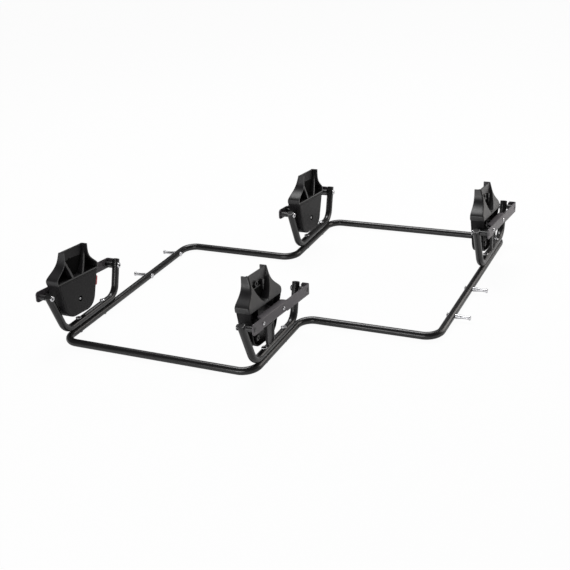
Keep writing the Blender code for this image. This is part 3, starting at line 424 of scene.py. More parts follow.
def shell(outer, inner):
    """A closed wall between two grids of the same shape: both faces, and a strip along each free border."""
    rows, cols = outer.shape[:2]
    count = rows * cols
    number = np.arange(count).reshape(rows, cols)
    faces = [quads(rows, cols), quads(rows, cols)[:, ::-1] + count]
    for border in (number[0], number[-1], number[:, 0], number[:, -1]):
        here, ahead = border[:-1], border[1:]
        faces.append(np.stack([here, ahead, ahead + count, here + count], axis=-1))
    return np.concatenate([outer.reshape(-1, 3), inner.reshape(-1, 3)]), np.concatenate(faces)


def sheet(out, thickness, along, up):
    """A flat sheet over a grid of places (along, up), from out back to out - thickness."""
    face = grid(out, along, up)
    return shell(face, face - (thickness, 0, 0))


def rib(out, along, up, thickness):
    """An upright rib over a grid of places (out, up), half its thickness to each side of along."""
    middle = grid(out, along, up)
    half = (0, thickness / 2, 0)
    return shell(middle - half, middle + half)


def rounded_path(corners, radii, closed=False, step=math.radians(4)):
    """A plane path through corners, each rounded to its radius: straight runs joined by circle arcs.

    Each arc's points are centre + radius * (cos a, sin a). Returns points and unit tangents, (n, 2) each.
    """
    corners = np.asarray(corners, float)
    count = len(corners)
    points, tangents = [], []
    for index, here in enumerate(corners):
        if not closed and index in (0, count - 1):
            way = corners[1] - here if index == 0 else here - corners[-2]
            points.append(here[None])
            tangents.append((way / np.linalg.norm(way))[None])
            continue
        back = corners[index - 1] - here
        ahead = corners[(index + 1) % count] - here
        back /= np.linalg.norm(back)
        ahead /= np.linalg.norm(ahead)
        radius = max(radii[index], 0.01 * MM)
        half = math.acos(np.clip(back @ ahead, -1, 1)) / 2
        centre = here + (back + ahead) / np.linalg.norm(back + ahead) * radius / math.sin(half)
        start = here + back * radius / math.tan(half) - centre
        side = 1.0 if back[0] * ahead[1] - back[1] * ahead[0] < 0 else -1.0
        sweep = side * (math.pi - 2 * half)
        angle = np.linspace(0, sweep, max(3, int(abs(sweep) / step) + 1))
        cos, sin = np.cos(angle), np.sin(angle)
        arc = np.stack([start[0] * cos - start[1] * sin, start[0] * sin + start[1] * cos], axis=-1)
        points.append(centre + arc)
        tangents.append(side * np.stack([-arc[:, 1], arc[:, 0]], axis=-1) / radius)
    return np.concatenate(points), np.concatenate(tangents)


def resampled(points, tangents, longest, closed=False):
    """The same path with extra points, so that no run is longer than longest.

    On each run, point = here * (1 - share) + ahead * share, with evenly spaced shares.
    """
    ahead, ahead_tangents = np.roll(points, -1, axis=0), np.roll(tangents, -1, axis=0)
    parts = np.maximum(1, np.ceil(np.linalg.norm(ahead - points, axis=1) / longest)).astype(int)
    if not closed:
        parts[-1] = 1
    run = np.repeat(np.arange(len(points)), parts)
    share = ((np.arange(len(run)) - (np.cumsum(parts) - parts)[run]) / parts[run])[:, None]
    tangents = tangents[run] * (1 - share) + ahead_tangents[run] * share
    tangents /= np.linalg.norm(tangents, axis=1)[:, None]
    return points[run] * (1 - share) + ahead[run] * share, tangents


def round_tube(path, tangents, up, radius, sides, cap=None):
    """A circle carried along a plane path: point = path + radius * (cos a * side + sin a * up).

    path and tangents are (n, 3). Without a cap radius the path is a closed loop. With one, each end is
    rounded over and closed at a pole.
    """
    side = np.cross(up, tangents)
    radii = np.full(len(path), radius)
    if cap:
        turn = np.linspace(math.pi / 2, 0, CAP_LEVELS)
        reach = cap * (1 - np.sin(turn))[:, None]
        path = np.concatenate([path[:1], path[0] + tangents[0] * reach, path[1:-1],
                               path[-1] - tangents[-1] * reach[::-1], path[-1:]])
        side = np.concatenate([np.repeat(side[:1], CAP_LEVELS + 1, axis=0), side[1:-1],
                               np.repeat(side[-1:], CAP_LEVELS + 1, axis=0)])
        rounded = radius - cap * (1 - np.cos(turn))
        radii = np.concatenate([[0], rounded, radii[1:-1], rounded[::-1], [0]])
    angle = np.linspace(0, 2 * math.pi, sides, endpoint=False)[None, :, None]
    ring = np.cos(angle) * side[:, None] + np.sin(angle) * np.asarray(up, float)
    return closed_grid(path[:, None] + radii[:, None, None] * ring, not cap)


def lengthways(depth, first, second, axis):
    """Points whose depth runs out (o), along (u) or up (w), with the two flat coordinates in order."""
    order = {"o": (depth, first, second), "u": (first, depth, second), "w": (first, second, depth)}
    return grid(*order[axis])


def turned(profile, sides=32, axis="o", place=(0, 0, 0)):
    """A profile of (radius, height) spun round an axis: (radius cos a, radius sin a, height)."""
    radius, height = np.asarray(profile, float).T[..., None]
    angle = np.linspace(0, 2 * math.pi, sides, endpoint=False)
    return closed_grid(lengthways(height, radius * np.cos(angle), radius * np.sin(angle), axis) + place)


def prism(outline, low, high, axis="o"):
    """A flat outline given depth from low to high. Both ends are fans round the outline's middle."""
    outline = np.asarray(outline, float)
    middle = outline.mean(axis=0) + 0 * outline
    first, second = np.moveaxis(np.stack([middle, outline, outline, middle]), -1, 0)
    return closed_grid(lengthways(np.array([low, low, high, high])[:, None], first, second, axis))


def soft_profile(corners, radius):
    """A turned profile whose inner corners are rounded a little, never past the middle of a run."""
    points = [tuple(corners[0])]
    for back, here, ahead in zip(corners, corners[1:], corners[2:]):
        reach = min(math.dist(back, here), math.dist(here, ahead)) * SOFT_SHARE
        arc, _ = rounded_path([back, here, ahead], [0, min(radius, reach), 0], step=SOFT_STEP)
        points += arc[1:-1].tolist()
    return points + [tuple(corners[-1])]


def rod(radius, low, high, edge):
    """Profile of a plain rod with rounded ends."""
    return soft_profile([(0, low), (radius, low), (radius, high), (0, high)], edge)


def smooth(share):
    """The curve 3 t^2 - 2 t^3 between 0 and 1, flat beyond."""
    share = np.clip(share, 0, 1)
    return share * share * (3 - 2 * share)


def quarter_round(radius, distance):
    """How far a rounded edge draws in at a distance from its end: r - sqrt(r^2 - (r - distance)^2)."""
    return radius - np.sqrt(radius ** 2 - np.clip(radius - distance, 0, radius) ** 2)


def mirrored_section(parts):
    """Join the parts of half a section, each (out, across), and add its mirror image across the middle."""
    halves = zip(*(np.broadcast_arrays(*part) for part in parts))
    out, across = (np.concatenate(rows, axis=1) for rows in halves)
    return (np.concatenate([out, out[:, -2::-1]], axis=1),
            np.concatenate([across, -across[:, -2::-1]], axis=1))


def star_plate(outline, centre, circles, shares, insets, height, back):
    """A plate on spokes from a centre to its outline: rings that go from small circles to the outline.

    circles are the inner rings' radii. shares, from 0 to 1, blend the last circle into the first of the
    outer rings, and insets are the outer rings' distances from the outline. height gives how far out the
    front is, from the distance along a spoke and the spoke's length. back is where the flat back is.
    """
    spoke = outline - np.asarray(centre)
    reach = np.linalg.norm(spoke, axis=1)
    distance = np.concatenate([
        circles[:, None] + 0 * reach,
        circles[-1] + (reach - insets[0] - circles[-1]) * shares[:, None],
        reach - insets[:, None]])
    flat = centre + distance[..., None] * (spoke / reach[:, None])
    front = np.concatenate([height(distance, reach)[..., None], flat], axis=-1)
    rear = front[::-1].copy()
    rear[..., 0] = back
    return closed_grid(np.concatenate([front, rear]))


# Places and pieces

def foot_place(name, points):
    """From a bracket's foot frame to the part's frame. Out is mirrored on a left side."""
    line, hand, along = BRACKETS[name]
    return points * (hand, 1, 1) + (line, along, STANDING_HEIGHT + FOOT_HEIGHT)


def bar_place(name, points):
    """From the bar's frame to the part's frame."""
    cos, sin = math.cos(BAR_PITCH), math.sin(BAR_PITCH)
    out, along, up = np.moveaxis(points, -1, 0)
    return foot_place(name, grid(out, along * cos + up * sin + BAR_MIDDLE[0],
                                 up * cos - along * sin + BAR_MIDDLE[1]))


def adapter_place(name, points):
    """From the adapter's frame to the part's frame."""
    return bar_place(name, points + (0, ADAPTER_OFFSET, 0))


def add_piece(name, surfaces, look, slot, body="frame", nodes=(), bevel=0.0):
    """Join closed surfaces into one mesh: weld seams and poles, face them out, ride and stand in for solids."""
    points = np.concatenate([surface[0] for surface in surfaces])
    starts = np.cumsum([0] + [len(surface[0]) for surface in surfaces[:-1]])
    faces = np.concatenate([surface[1] + start for surface, start in zip(surfaces, starts)])
    mesh = bpy.data.meshes.new(name)
    mesh.vertices.add(len(points))
    mesh.vertices.foreach_set("co", points.astype(np.float32).ravel())
    mesh.loops.add(faces.size)
    mesh.loops.foreach_set("vertex_index", faces.astype(np.int32).ravel())
    mesh.polygons.add(len(faces))
    mesh.polygons.foreach_set("loop_start", np.arange(0, faces.size, 4, dtype=np.int32))
    mesh.polygons.foreach_set("loop_total", np.full(len(faces), 4, dtype=np.int32))
    mesh.update(calc_edges=True)
    work = bmesh.new()
    work.from_mesh(mesh)
    bmesh.ops.remove_doubles(work, verts=work.verts, dist=WELD)
    bmesh.ops.dissolve_degenerate(work, edges=work.edges, dist=SLIVER)
    bmesh.ops.recalc_face_normals(work, faces=work.faces)
    work.to_mesh(mesh)
    work.free()
    mesh.shade_smooth()
    mesh.set_sharp_from_angle(angle=SHARP_EDGE)
    mesh.materials.append(finish(look))
    piece = bpy.data.objects.new(name, mesh)
    bpy.context.scene.collection.objects.link(piece)
    if bevel:
        modifier = piece.modifiers.new("Rounded edges", "BEVEL")
        modifier.width = bevel
        modifier.segments = 2
        modifier.limit_method = "ANGLE"
        modifier.angle_limit = SHARP_EDGE
        modifier.use_clamp_overlap = True
    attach(piece, body)
    if nodes:
        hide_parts(*nodes)


def add_to(name, label, place, surfaces, look, slot, node=None, **options):
    """Add a piece to the bracket of this name. place takes its surfaces to the part's frame."""
    placed = [(place(name, points), faces) for points, faces in surfaces]
    add_piece(f"{name}_{label}", placed, look, slot, nodes=[f"{name}_{node}"] if node else [], **options)


# Finishes

def add_node(tree, kind, inputs=(), **settings):
    """A new node with its settings, and on each named socket a number, a colour or a link."""
    node = tree.nodes.new(kind)
    for label, value in settings.items():
        setattr(node, label, value)
    for label, value in dict(inputs).items():
        if isinstance(value, bpy.types.NodeSocket):
            tree.links.new(value, node.inputs[label])
        else:
            node.inputs[label].default_value = value
    return node


def maths(tree, operation, first, second, clamp=False):
    """One maths node. Each side is a number or a socket."""
    return add_node(tree, "ShaderNodeMath", {0: first, 1: second},
                    operation=operation, use_clamp=clamp).outputs[0]


def object_noise(tree, scale, detail):
    """Noise on object coordinates. The scale is a socket."""
    place = tree.nodes.new("ShaderNodeTexCoord").outputs["Object"]
    inputs = {"Vector": place, "Scale": scale, "Detail": detail}
    return add_node(tree, "ShaderNodeTexNoise", inputs).outputs["Fac"]


def new_group(name, inputs, outputs):
    """An empty shader group with named sockets, and its two end nodes. An input of None is a colour."""
    group = bpy.data.node_groups.new(name, "ShaderNodeTree")
    for label, value in inputs.items():
        kind = "NodeSocketColor" if value is None else "NodeSocketFloat"
        socket = group.interface.new_socket(name=label, in_out="INPUT", socket_type=kind)
        if value is not None:
            socket.default_value = value
    for label, kind in outputs.items():
        group.interface.new_socket(name=label, in_out="OUTPUT", socket_type=kind)
    return group, group.nodes.new("NodeGroupInput").outputs, group.nodes.new("NodeGroupOutput").inputs


def patina_group():
    """Slight unevenness of a made surface: a colour between two tones, and a varying roughness.

    Tone = broad cloudy noise plus a little fine speckle. Roughness = base + spread * (tone - 0.5).
    """
    group, start, end = new_group(
        "surface_patina",
        {"Colour": None, "Second Colour": None, "Cloud Scale": 14.0, "Speckle Scale": 900.0,
         "Roughness": 0.4, "Spread": 0.1},
        {"Colour": "NodeSocketColor", "Roughness": "NodeSocketFloat"})
    cloud = object_noise(group, start["Cloud Scale"], 4.0)
    speckle = object_noise(group, start["Speckle Scale"], 2.0)
    tone = maths(group, "ADD", maths(group, "MULTIPLY", cloud, CLOUD_SHARE),
                 maths(group, "MULTIPLY", speckle, 1 - CLOUD_SHARE), clamp=True)
    mixed = {"Factor": tone, "A": start["Colour"], "B": start["Second Colour"]}
    colour = add_node(group, "ShaderNodeMix", mixed, data_type="RGBA").outputs["Result"]
    group.links.new(colour, end["Colour"])
    swing = maths(group, "MULTIPLY", maths(group, "SUBTRACT", tone, 0.5), start["Spread"])
    group.links.new(maths(group, "ADD", swing, start["Roughness"], clamp=True), end["Roughness"])
    return group


def grain_group():
    """Height of a fine surface grain: two sizes of noise, weighted."""
    group, start, end = new_group(
        "surface_grain", {"Fine Scale": 1500.0, "Coarse Scale": 260.0, "Coarse Share": 0.4},
        {"Height": "NodeSocketFloat"})
    fine = object_noise(group, start["Fine Scale"], 2.0)
    coarse = object_noise(group, start["Coarse Scale"], 3.0)
    share = start["Coarse Share"]
    height = maths(group, "ADD", maths(group, "MULTIPLY", coarse, share),
                   maths(group, "MULTIPLY", fine, maths(group, "SUBTRACT", 1.0, share)))
    group.links.new(height, end["Height"])
    return group


def finish(name):
    """One of the part's finishes, made on first use: uneven tone and roughness, and a fine grain."""
    if name in bpy.data.materials:
        return bpy.data.materials[name]
    setting, factors, (roughness, spread), values = FINISHES[name]
    values = {**USUAL_FINISH, **values}
    colour = getattr(bpy.context.scene.adapter_finish, setting)
    tones = [(*(min(1, channel * factor) for channel in colour), 1) for factor in factors]
    material = bpy.data.materials.new(name)
    material.diffuse_color = tones[0]
    material.use_nodes = True
    tree = material.node_tree
    patina = add_node(
        tree, "ShaderNodeGroup",
        {"Colour": tones[0], "Second Colour": tones[1], "Cloud Scale": values["cloud"],
         "Roughness": roughness, "Spread": spread},
        node_tree=bpy.data.node_groups.get("surface_patina") or patina_group()).outputs
    grain = add_node(
        tree, "ShaderNodeGroup", zip(("Fine Scale", "Coarse Scale", "Coarse Share"), values["grain"]),
        node_tree=bpy.data.node_groups.get("surface_grain") or grain_group()).outputs
    relief = add_node(tree, "ShaderNodeBump", {"Strength": values["bump"], "Distance": values["depth"],
                                               "Height": grain["Height"]})
    shader = tree.nodes["Principled BSDF"].inputs
    shader["Metallic"].default_value = values["metallic"]
    shader["Coat Weight"].default_value = values["coat"]
    shader["Coat Roughness"].default_value = values["coat_roughness"]
    shader["Specular IOR Level"].default_value = values["specular"]
    tree.links.new(patina["Colour"], shader["Base Color"])
    tree.links.new(patina["Roughness"], shader["Roughness"])
    tree.links.new(relief.outputs["Normal"], shader["Normal"])
    return material


# Tubes

def loop_path(bend):
    """The stepped loop on its centre line, anticlockwise from its front left corner."""
    across, deep = FRAME_WIDTH - SEAT_SPACING, STAGGER
    corners = [(0, 0), (SEAT_SPACING, 0), (SEAT_SPACING, deep), (FRAME_WIDTH, deep),
               (FRAME_WIDTH, SEAT_DEPTH + deep), (across, SEAT_DEPTH + deep), (across, SEAT_DEPTH),
               (0, SEAT_DEPTH)]
    path = rounded_path(np.array(corners) + (LEFT, FRONT_Y), [bend] * len(corners), closed=True)
    return resampled(*path, longest=20 * MM, closed=True)


class ADAPTER_OT_loop_tube(bpy.types.Operator):
    """Build the stepped loop of tube"""

    bl_idname = "adapter_frame.loop_tube"
    bl_label = "Loop tube"

    def execute(self, context):
        tube = context.scene.adapter_tube
        points, tangents = loop_path(tube.loop_bend)
        surface = round_tube(np.insert(points, 2, STANDING_HEIGHT, axis=1),
                             np.insert(tangents, 2, 0, axis=1), (0, 0, 1), tube.radius, tube.sides)
        add_piece("loop_tube", [surface], "gloss_coat", "tube", nodes=["frame_tube"])
        return {"FINISHED"}


def leg_ends():
    """Ends of a bracket's legs in its foot frame, (along, up)."""
    way = np.array([math.sin(LEG_SPLAY), math.cos(LEG_SPLAY)])
    return ((NEAR_RIVET_Y, NEAR_RIVET_HEIGHT) + NEAR_LEG_OVER_RIVET * way * (-1, 1),
            (FAR_RIVET_Y, FAR_RIVET_HEIGHT) + FAR_LEG_OVER_RIVET * way)


def leg_plug(end, side):
    """The plug in a leg's end, turned upright and then tipped over with the leg."""
    lean, rise = side * math.sin(LEG_SPLAY), math.cos(LEG_SPLAY)
    points, faces = turned(soft_profile(PLUG, PLUG_EDGE), axis="w")
    out, along, up = points.T
    return grid(out, along * rise + up * lean + end[0], up * rise - along * lean + end[1]), faces


class ADAPTER_OT_bracket_tubes(bpy.types.Operator):
    """Build the four U-shaped brackets and the plugs in their ends"""

    bl_idname = "adapter_frame.bracket_tubes"
    bl_label = "Bracket tubes"

    def execute(self, context):
        tube = context.scene.adapter_tube
        near, far = leg_ends()
        corners = [near, (-FOOT_LENGTH / 2, 0), (FOOT_LENGTH / 2, 0), far]
        path = rounded_path(corners, [0, tube.bracket_bend, tube.bracket_bend, 0])
        points, tangents = (np.insert(rows, 0, 0, axis=1) for rows in resampled(*path, longest=12 * MM))
        legs = round_tube(points, tangents, (1, 0, 0), tube.radius, tube.sides, cap=LEG_EDGE)
        plugs = [leg_plug(near, -1), leg_plug(far, 1)]
        for name in BRACKETS:
            add_to(name, "bracket_tube", foot_place, [legs], "gloss_coat", "tube", "bracket")
            # The plugs take the moulding that is darkened as painted shade.
            add_to(name, "end_plugs", foot_place, plugs, "matt_moulding", "plastic")
        return {"FINISHED"}


# Fasteners

def shade_disc(radius, out, place, axis="o"):
    """A thin disc of painted shade, square to an axis, with its outer face at out."""
    back = out - SHADE_THICKNESS
    return turned([(0, out), (radius, out), (radius, back), (0, back)], 24, axis, place)


def rivet_head(facing):
    """Profile of a hollow rivet's rolled head on its tube, from the axis outwards, and of its shank."""
    seat = facing * RIVET_SEAT
    shank = [(RIVET_SHANK, seat), (RIVET_SHANK, HEAD_SHANK_END), (0, HEAD_SHANK_END)]
    return soft_profile([*(RIVET_HEAD * (1, facing) + (0, seat)), *shank], RIVET_EDGE)


def rivet_tail(seat, facing, radius, height):
    """Profile of a flattened rivet's tail, from the rim to the axis."""
    end = seat + facing * height
    return [(radius - TAIL_EDGE, seat), (radius, seat + facing * 0.3 * height), (0.5 * radius, end), (0, end)]


def foot_tail():
    """Profile of a foot rivet's lower part: shank, and tail under the loop."""
    bottom = -FOOT_HEIGHT - RIVET_SEAT
    shank = [(0, 0), (RIVET_SHANK, 0), (RIVET_SHANK, bottom)]
    return soft_profile(shank + rivet_tail(bottom, -1, *FOOT_TAIL), RIVET_EDGE)


def bar_spacer():
    """Profile of a bar rivet's outer part: shank, spacer between leg and bar, and tail on the bar."""
    steps = [(0, SPACER_START), (RIVET_SHANK, SPACER_START), (RIVET_SHANK, RIVET_SEAT),
             (SPACER_RADIUS, RIVET_SEAT), (SPACER_RADIUS, SPACER_END), (RIVET_SHANK, SPACER_END),
             (RIVET_SHANK, BAR_TAIL_SEAT)]
    return soft_profile(steps + rivet_tail(BAR_TAIL_SEAT, 1, *BAR_TAIL), RIVET_EDGE)


class ADAPTER_OT_rivets(bpy.types.Operator):
    """Build the rivets through the feet, and the stepped rivets through the legs and bars, with painted shade
    in the heads' bores
    """

    bl_idname = "adapter_frame.rivets"
    bl_label = "Rivets"

    def execute(self, context):
        rows = (("foot", foot_place, "w", 1, FOOT_RIVET_SPACING / 2, foot_tail()),
                ("bar", bar_place, "o", -1, HALF_SPAN, bar_spacer()))
        for name in BRACKETS:
            dark, shadows = [], []
            for end, side in ENDS:
                for row, placed, axis, facing, reach, tail in rows:
                    place = (0, side * reach, 0)
                    head = turned(rivet_head(facing), axis=axis, place=place)
                    add_to(name, f"{row}_rivet_{end}_head", placed, [head], "zinc_plate", "zinc",
                           f"{row}_rivet_{end}")
                    points, faces = turned(tail, axis=axis, place=place)
                    dark.append((placed(name, points), faces))
                    # A disc of painted shade inside each head's bore.
                    mouth = facing * RIVET_BORE_MIDDLE + 0.1 * MM
                    points, faces = shade_disc(RIVET_BORE, mouth, place, axis)
                    shadows.append((placed(name, points), faces))
            add_piece(f"{name}_rivet_spacers", dark, "satin_moulding", "tube")
            add_piece(f"{name}_rivet_bores", shadows, "bore_shadow", "zinc")
        return {"FINISHED"}


class ADAPTER_OT_pushchair_pins(bpy.types.Operator):
    """Build the four headed pins that plug into the pushchair"""

    bl_idname = "adapter_frame.pushchair_pins"
    bl_label = "Pushchair pins"

    def execute(self, context):
        outside = turned(soft_profile(PIN, PIN_EDGE), 40)
        inside = turned(soft_profile(PIN_HEAD, PIN_HEAD_EDGE), 40)
        for name, (line, facing, along) in PINS.items():
            for label, (points, faces), nodes in (("turned", outside, [name]), ("inner_head", inside, [])):
                placed = points * (facing, 1, 1) + (line, along, STANDING_HEIGHT)
                add_piece(f"{name}_{label}", [(placed, faces)], "pin_steel", "zinc", nodes=nodes)
        return {"FINISHED"}


def screw_head(seat, facing, depth, radius, place):
    """A pan-head screw: recessed crown, rounded head, and a plain shank of some depth."""
    shank = 1.9 * MM
    profile = [(0, 0.6 * MM), (1.1 * MM, 0.8 * MM), (1.5 * MM, 1.7 * MM), (0.72 * radius, 1.55 * MM),
               (radius, 0.5 * MM), (radius, 0), (shank, 0), (shank, -depth), (0, -depth)]
    return turned(soft_profile(np.array(profile) * (1, facing) + (0, seat), 0.25 * MM), 28, place=place)


class ADAPTER_OT_screws(bpy.types.Operator):
    """Build the screws of the adapters and shields, and the levers' axles"""

    bl_idname = "adapter_frame.screws"
    bl_label = "Screws"

    def execute(self, context):
        shield_screw = screw_head(SHIELD_SCREW_SEAT, -1, depth=5 * MM, radius=2.6 * MM,
                                  place=(0, 0, SHIELD_SCREW))
        reach = LEVER_HALF + EAR_GAP + EAR_WIDTH
        profile = rod(AXLE_RADIUS, LEVER_OFFSET - reach, LEVER_OFFSET + reach, AXLE_EDGE)
        axle = turned(profile, 20, "u", (LEVER_AXIS_OUT, 0, LEVER_AXIS_UP))
        bar_screws = {
            end: screw_head(BAR_SCREW_SEAT, 1, depth=10 * MM, radius=3.6 * MM,
                            place=(0, side * BAR_SCREW_SPACING / 2, 0)) for end, side in ENDS}
        for name in BRACKETS:
            for end, bar_screw in bar_screws.items():
                add_to(name, f"bar_screw_{end}_head", adapter_place, [bar_screw], "zinc_plate", "zinc",
                       f"bar_screw_{end}")
            add_to(name, "shield_screw_head", adapter_place, [shield_screw], "pin_steel", "zinc",
                   "shield_screw")
            add_to(name, "lever_axle", adapter_place, [axle], "zinc_plate", "zinc", "lever_pin")
        return {"FINISHED"}


# Bars

def channel_section(along, face, half, depth, fold):
    """Path of the sheet at each place along the bar: flange tip, fold, web, fold, flange tip.

    fold is the bend radius there, never more than the flange's depth.
    """
    angle = np.linspace(0, math.pi / 2, 7)[None]
    depth, half = depth[:, None], half[:, None]
    radius = np.minimum(fold, depth)
    out, up = mirrored_section([
        (face - radius + (radius - depth) * np.linspace(1, 0, 5)[None, :-1], half),
        (face - radius + radius * np.sin(angle), half - radius + radius * np.cos(angle)),
        (face, (half - radius) * np.linspace(1, 0, 6)[None, 1:])])
    return grid(out, along[:, None], up)


def channel_bar():
    """The folded bar: a web with rounded front corners, flanges over its middle and a tab at its rear end."""
    run = BAR_END - BAR_FOLD
    growth = 1 - np.cos(np.linspace(0, math.pi / 2, 8))
    along = np.unique(np.concatenate([
        BAR_START + BAR_NOSE * (1 - np.cos(np.linspace(0, math.pi / 2, 9))),
        np.linspace(BAR_START + BAR_NOSE, run, 60),
        FLANGE_START + FLANGE_NOSE * growth, FLANGE_END - FLANGE_NOSE * growth]))
    half = BAR_HALF - quarter_round(BAR_NOSE, along - BAR_START)
    to_end = np.minimum(along - FLANGE_START, FLANGE_END - along)
    depth = FLANGE_DEPTH * (1 - quarter_round(FLANGE_NOSE, to_end) / FLANGE_NOSE)
    outer = channel_section(along, BAR_FACE, half, depth, BAR_FOLD)
    inner = channel_section(along, BAR_FACE - BAR_SHEET, half - np.minimum(BAR_SHEET, depth),
                            np.maximum(depth - BAR_SHEET, 0), BAR_FOLD - BAR_SHEET)
    tip = BAR_FACE - TAB_DEPTH
    angle = np.linspace(0, math.pi / 2, 8)
    straight = np.linspace(BAR_FACE - BAR_FOLD, tip, 6)[1:]
    bend = np.concatenate([BAR_FACE - BAR_FOLD * (1 - np.cos(angle)), straight])
    tall = BAR_HALF - quarter_round(TAB_NOSE, bend - tip)

    def tab(radius):
        """A face of the tab, which bends with this radius: height from -1 to 1 times its half height."""
        out = np.concatenate([BAR_FACE - BAR_FOLD + radius * np.cos(angle), straight])
        along_bar = run + radius * np.concatenate([np.sin(angle), np.ones(len(straight))])
        return grid(out, along_bar, np.linspace(-1, 1, 7)[:, None] * tall)

    return [shell(outer, inner), shell(tab(BAR_FOLD), tab(BAR_FOLD - BAR_SHEET))]


class ADAPTER_OT_channel_bars(bpy.types.Operator):
    """Build the four folded bars that carry the adapters"""

    bl_idname = "adapter_frame.channel_bars"
    bl_label = "Channel bars"

    def execute(self, context):
        surfaces = channel_bar()
        for name in BRACKETS:
            add_to(name, "folded_bar", bar_place, surfaces, "bar_coat", "bar", "bar", bevel=BAR_EDGE)
        return {"FINISHED"}


# Adapters

def lip_tuck(height):
    """How far the tower draws in again at the lip: a parabola that starts a little above it."""
    return LIP_TUCK * np.clip((LIP + LIP_TUCK_HEIGHT - height) / LIP_TUCK_HEIGHT, 0, 1) ** 2


def half_width(height):
    """Half the tower's width: a smooth step of ((top - height) / flare) ** power, tucked in at the lip."""
    share = np.clip((TOWER_TOP - height) / (TOWER_TOP - FLARE_END), 0, 1) ** FLARE_POWER
    return TOP_HALF + (BASE_HALF - TOP_HALF) * smooth(share) - lip_tuck(height)


def front_face(height):
    """How far out the tower's leaning face is."""
    return FACE_TOP + (TOWER_TOP - height) * (FACE_LIP - FACE_TOP) / (TOWER_TOP - LIP) - lip_tuck(height)


def recess_half(height):
    """Half the width of the shield-shaped recess: foot + spread * (1 - (1 - share of height) ** power)."""
    share = np.clip((height - RECESS_FOOT) / (TOWER_TOP - RECESS_FOOT), 0, 1)
    return RECESS_FOOT_HALF + (RECESS_TOP_HALF - RECESS_FOOT_HALF) * (1 - (1 - share) ** RECESS_POWER)


def tower_section(height, inset, corner, foot):
    """Section of the tower at each height: side wall, rounded corner, face, step down, recess floor.

    inset moves the whole path inwards by the wall's thickness.
    """
    half = (half_width(height) - inset)[:, None]
    face = (front_face(height) - inset)[:, None]
    depth = np.maximum(face - (PANEL - inset), 0) * smooth((height - foot) / RECESS_RUN)[:, None]
    widest = half - corner - RECESS_STEP - HAIR
    recess = np.minimum(recess_half(height)[:, None] + inset, widest)
    angle = np.linspace(0, math.pi / 2, 8)[None]
    run = np.linspace(0, 1, 9)[None]
    drop = np.linspace(0, 1, 8)[None]
    out, along = mirrored_section([
        (INNER + (face - corner - INNER) * run[:, :-1], -half),
        (face - corner + corner * np.sin(angle), -half + corner - corner * np.cos(angle)),
        (face, -half + corner + (half - corner - recess - RECESS_STEP) * run[:, 1:-1]),
        (face - depth * smooth(drop), -recess - RECESS_STEP * (1 - drop)),
        (face - depth, -recess * (1 - drop[:, 1:]))])
    return grid(out, along, height[:, None])


def tower_skin(corner):
    """The tower's wall, from the lip to the top."""
    height = np.unique(np.concatenate([
        np.linspace(LIP, LIP + LIP_TUCK_HEIGHT, 9), np.linspace(LIP, TOWER_TOP, 56),
        RECESS_FOOT + np.linspace(-WALL, 2 * MM, 16)]))
    return shell(tower_section(height, 0, corner, RECESS_FOOT),
                 tower_section(height, WALL, WALL_CORNER, RECESS_FOOT - WALL))


def tower_ribs(thickness):
    """Two broad ribs that spread from the deck to the top corners, deep below and shallow above."""
    height = np.linspace(DECK_TOP - LAP, RIB_TOP, 30)[:, None]
    edge = INNER + RIB_SETBACK + RIB_SLANT * smooth((height - DECK_TOP) / (TOWER_TOP - DECK_TOP))
    root = PANEL - WALL / 2
    out = root + (edge - root) * np.linspace(0, 1, 8)[None]
    growth = RIB_SPREAD_GROWTH * (height - LIP) / (CORNER_START - LIP)
    spread = np.minimum(RIB_LIP_SPREAD + growth, RIB_SPREAD_LIMIT)
    return [rib(out, side * spread, height, thickness) for side in (-1, 1)]


def deck_plate():
    """The flat plate between tower and casing."""
    back, front, half = INNER + HAIR / 2, FACE_LIP - DECK_SETBACK, BASE_HALF - DECK_SETBACK
    outline, _ = rounded_path([(back, -half), (front, -half), (front, half), (back, half)],
                              [0, DECK_CORNER, DECK_CORNER, 0], closed=True)
    return prism(outline, LIP + HAIR, DECK_TOP, "w")


def solid_corners():
    """The two closed corners of the tower's top, between the side walls and the recess."""
    low, high = CORNER_SIDES
    corners = np.array([(CORNER_BACK, low), (PANEL, low), (PANEL, high), (CORNER_BACK, high)])
    return [prism(corners * (1, side), CORNER_START, TOWER_TOP - HAIR, "w") for side in (-1, 1)]


def pocket_shade_sheet(out, foot, top=POCKET_TOP):
    """A thin sheet of painted shade under an arched edge, on the panel: along = share * half width, up to an
    arch.
    """
    share = np.linspace(-1, 1, 21)[None]
    up = foot + (top - POCKET_ARCH * share ** 2 - foot) * np.linspace(0, 1, 24)[:, None]
    return sheet(out, SHADE_THICKNESS, share * (recess_half(up) - POCKET_GAP), up)


def recess_details():
    """What stands on the recess's floor beside the round boss: a tapered lug and a thin rib."""
    keel, _ = rounded_path(KEEL, KEEL_CORNERS, closed=True)
    return [prism(keel, PANEL - LAP, PANEL + KEEL_DEPTH), prism(STRIP, PANEL - LAP, PANEL + STRIP_DEPTH)]


def casing_path():
    """The casing's outline from one top corner round its bottom to the other, (along, up)."""
    corners = [(-CASING_TOP_HALF, LIP), (-CASING_FOOT_HALF, CASING_BOTTOM),
               (CASING_FOOT_HALF, CASING_BOTTOM), (CASING_TOP_HALF, LIP)]
    return resampled(*rounded_path(corners, [0, CASING_CORNER, CASING_CORNER, 0]), longest=5 * MM)


def casing_flank():
    """Half the casing's outline, from the middle of its bottom to a top corner: places along, places up."""
    path, _ = casing_path()
    return path[len(path) // 2:].T


def casing_half(height):
    """Half the casing's width at each height, read off its outline."""
    along, up = casing_flank()
    return np.interp(height, up, along)


def casing_rim(height):
    """How far out the casing's open rim is."""
    return RIM_TOP + (RIM_FOOT - RIM_TOP) * (LIP - height) / (LIP - CASING_BOTTOM)


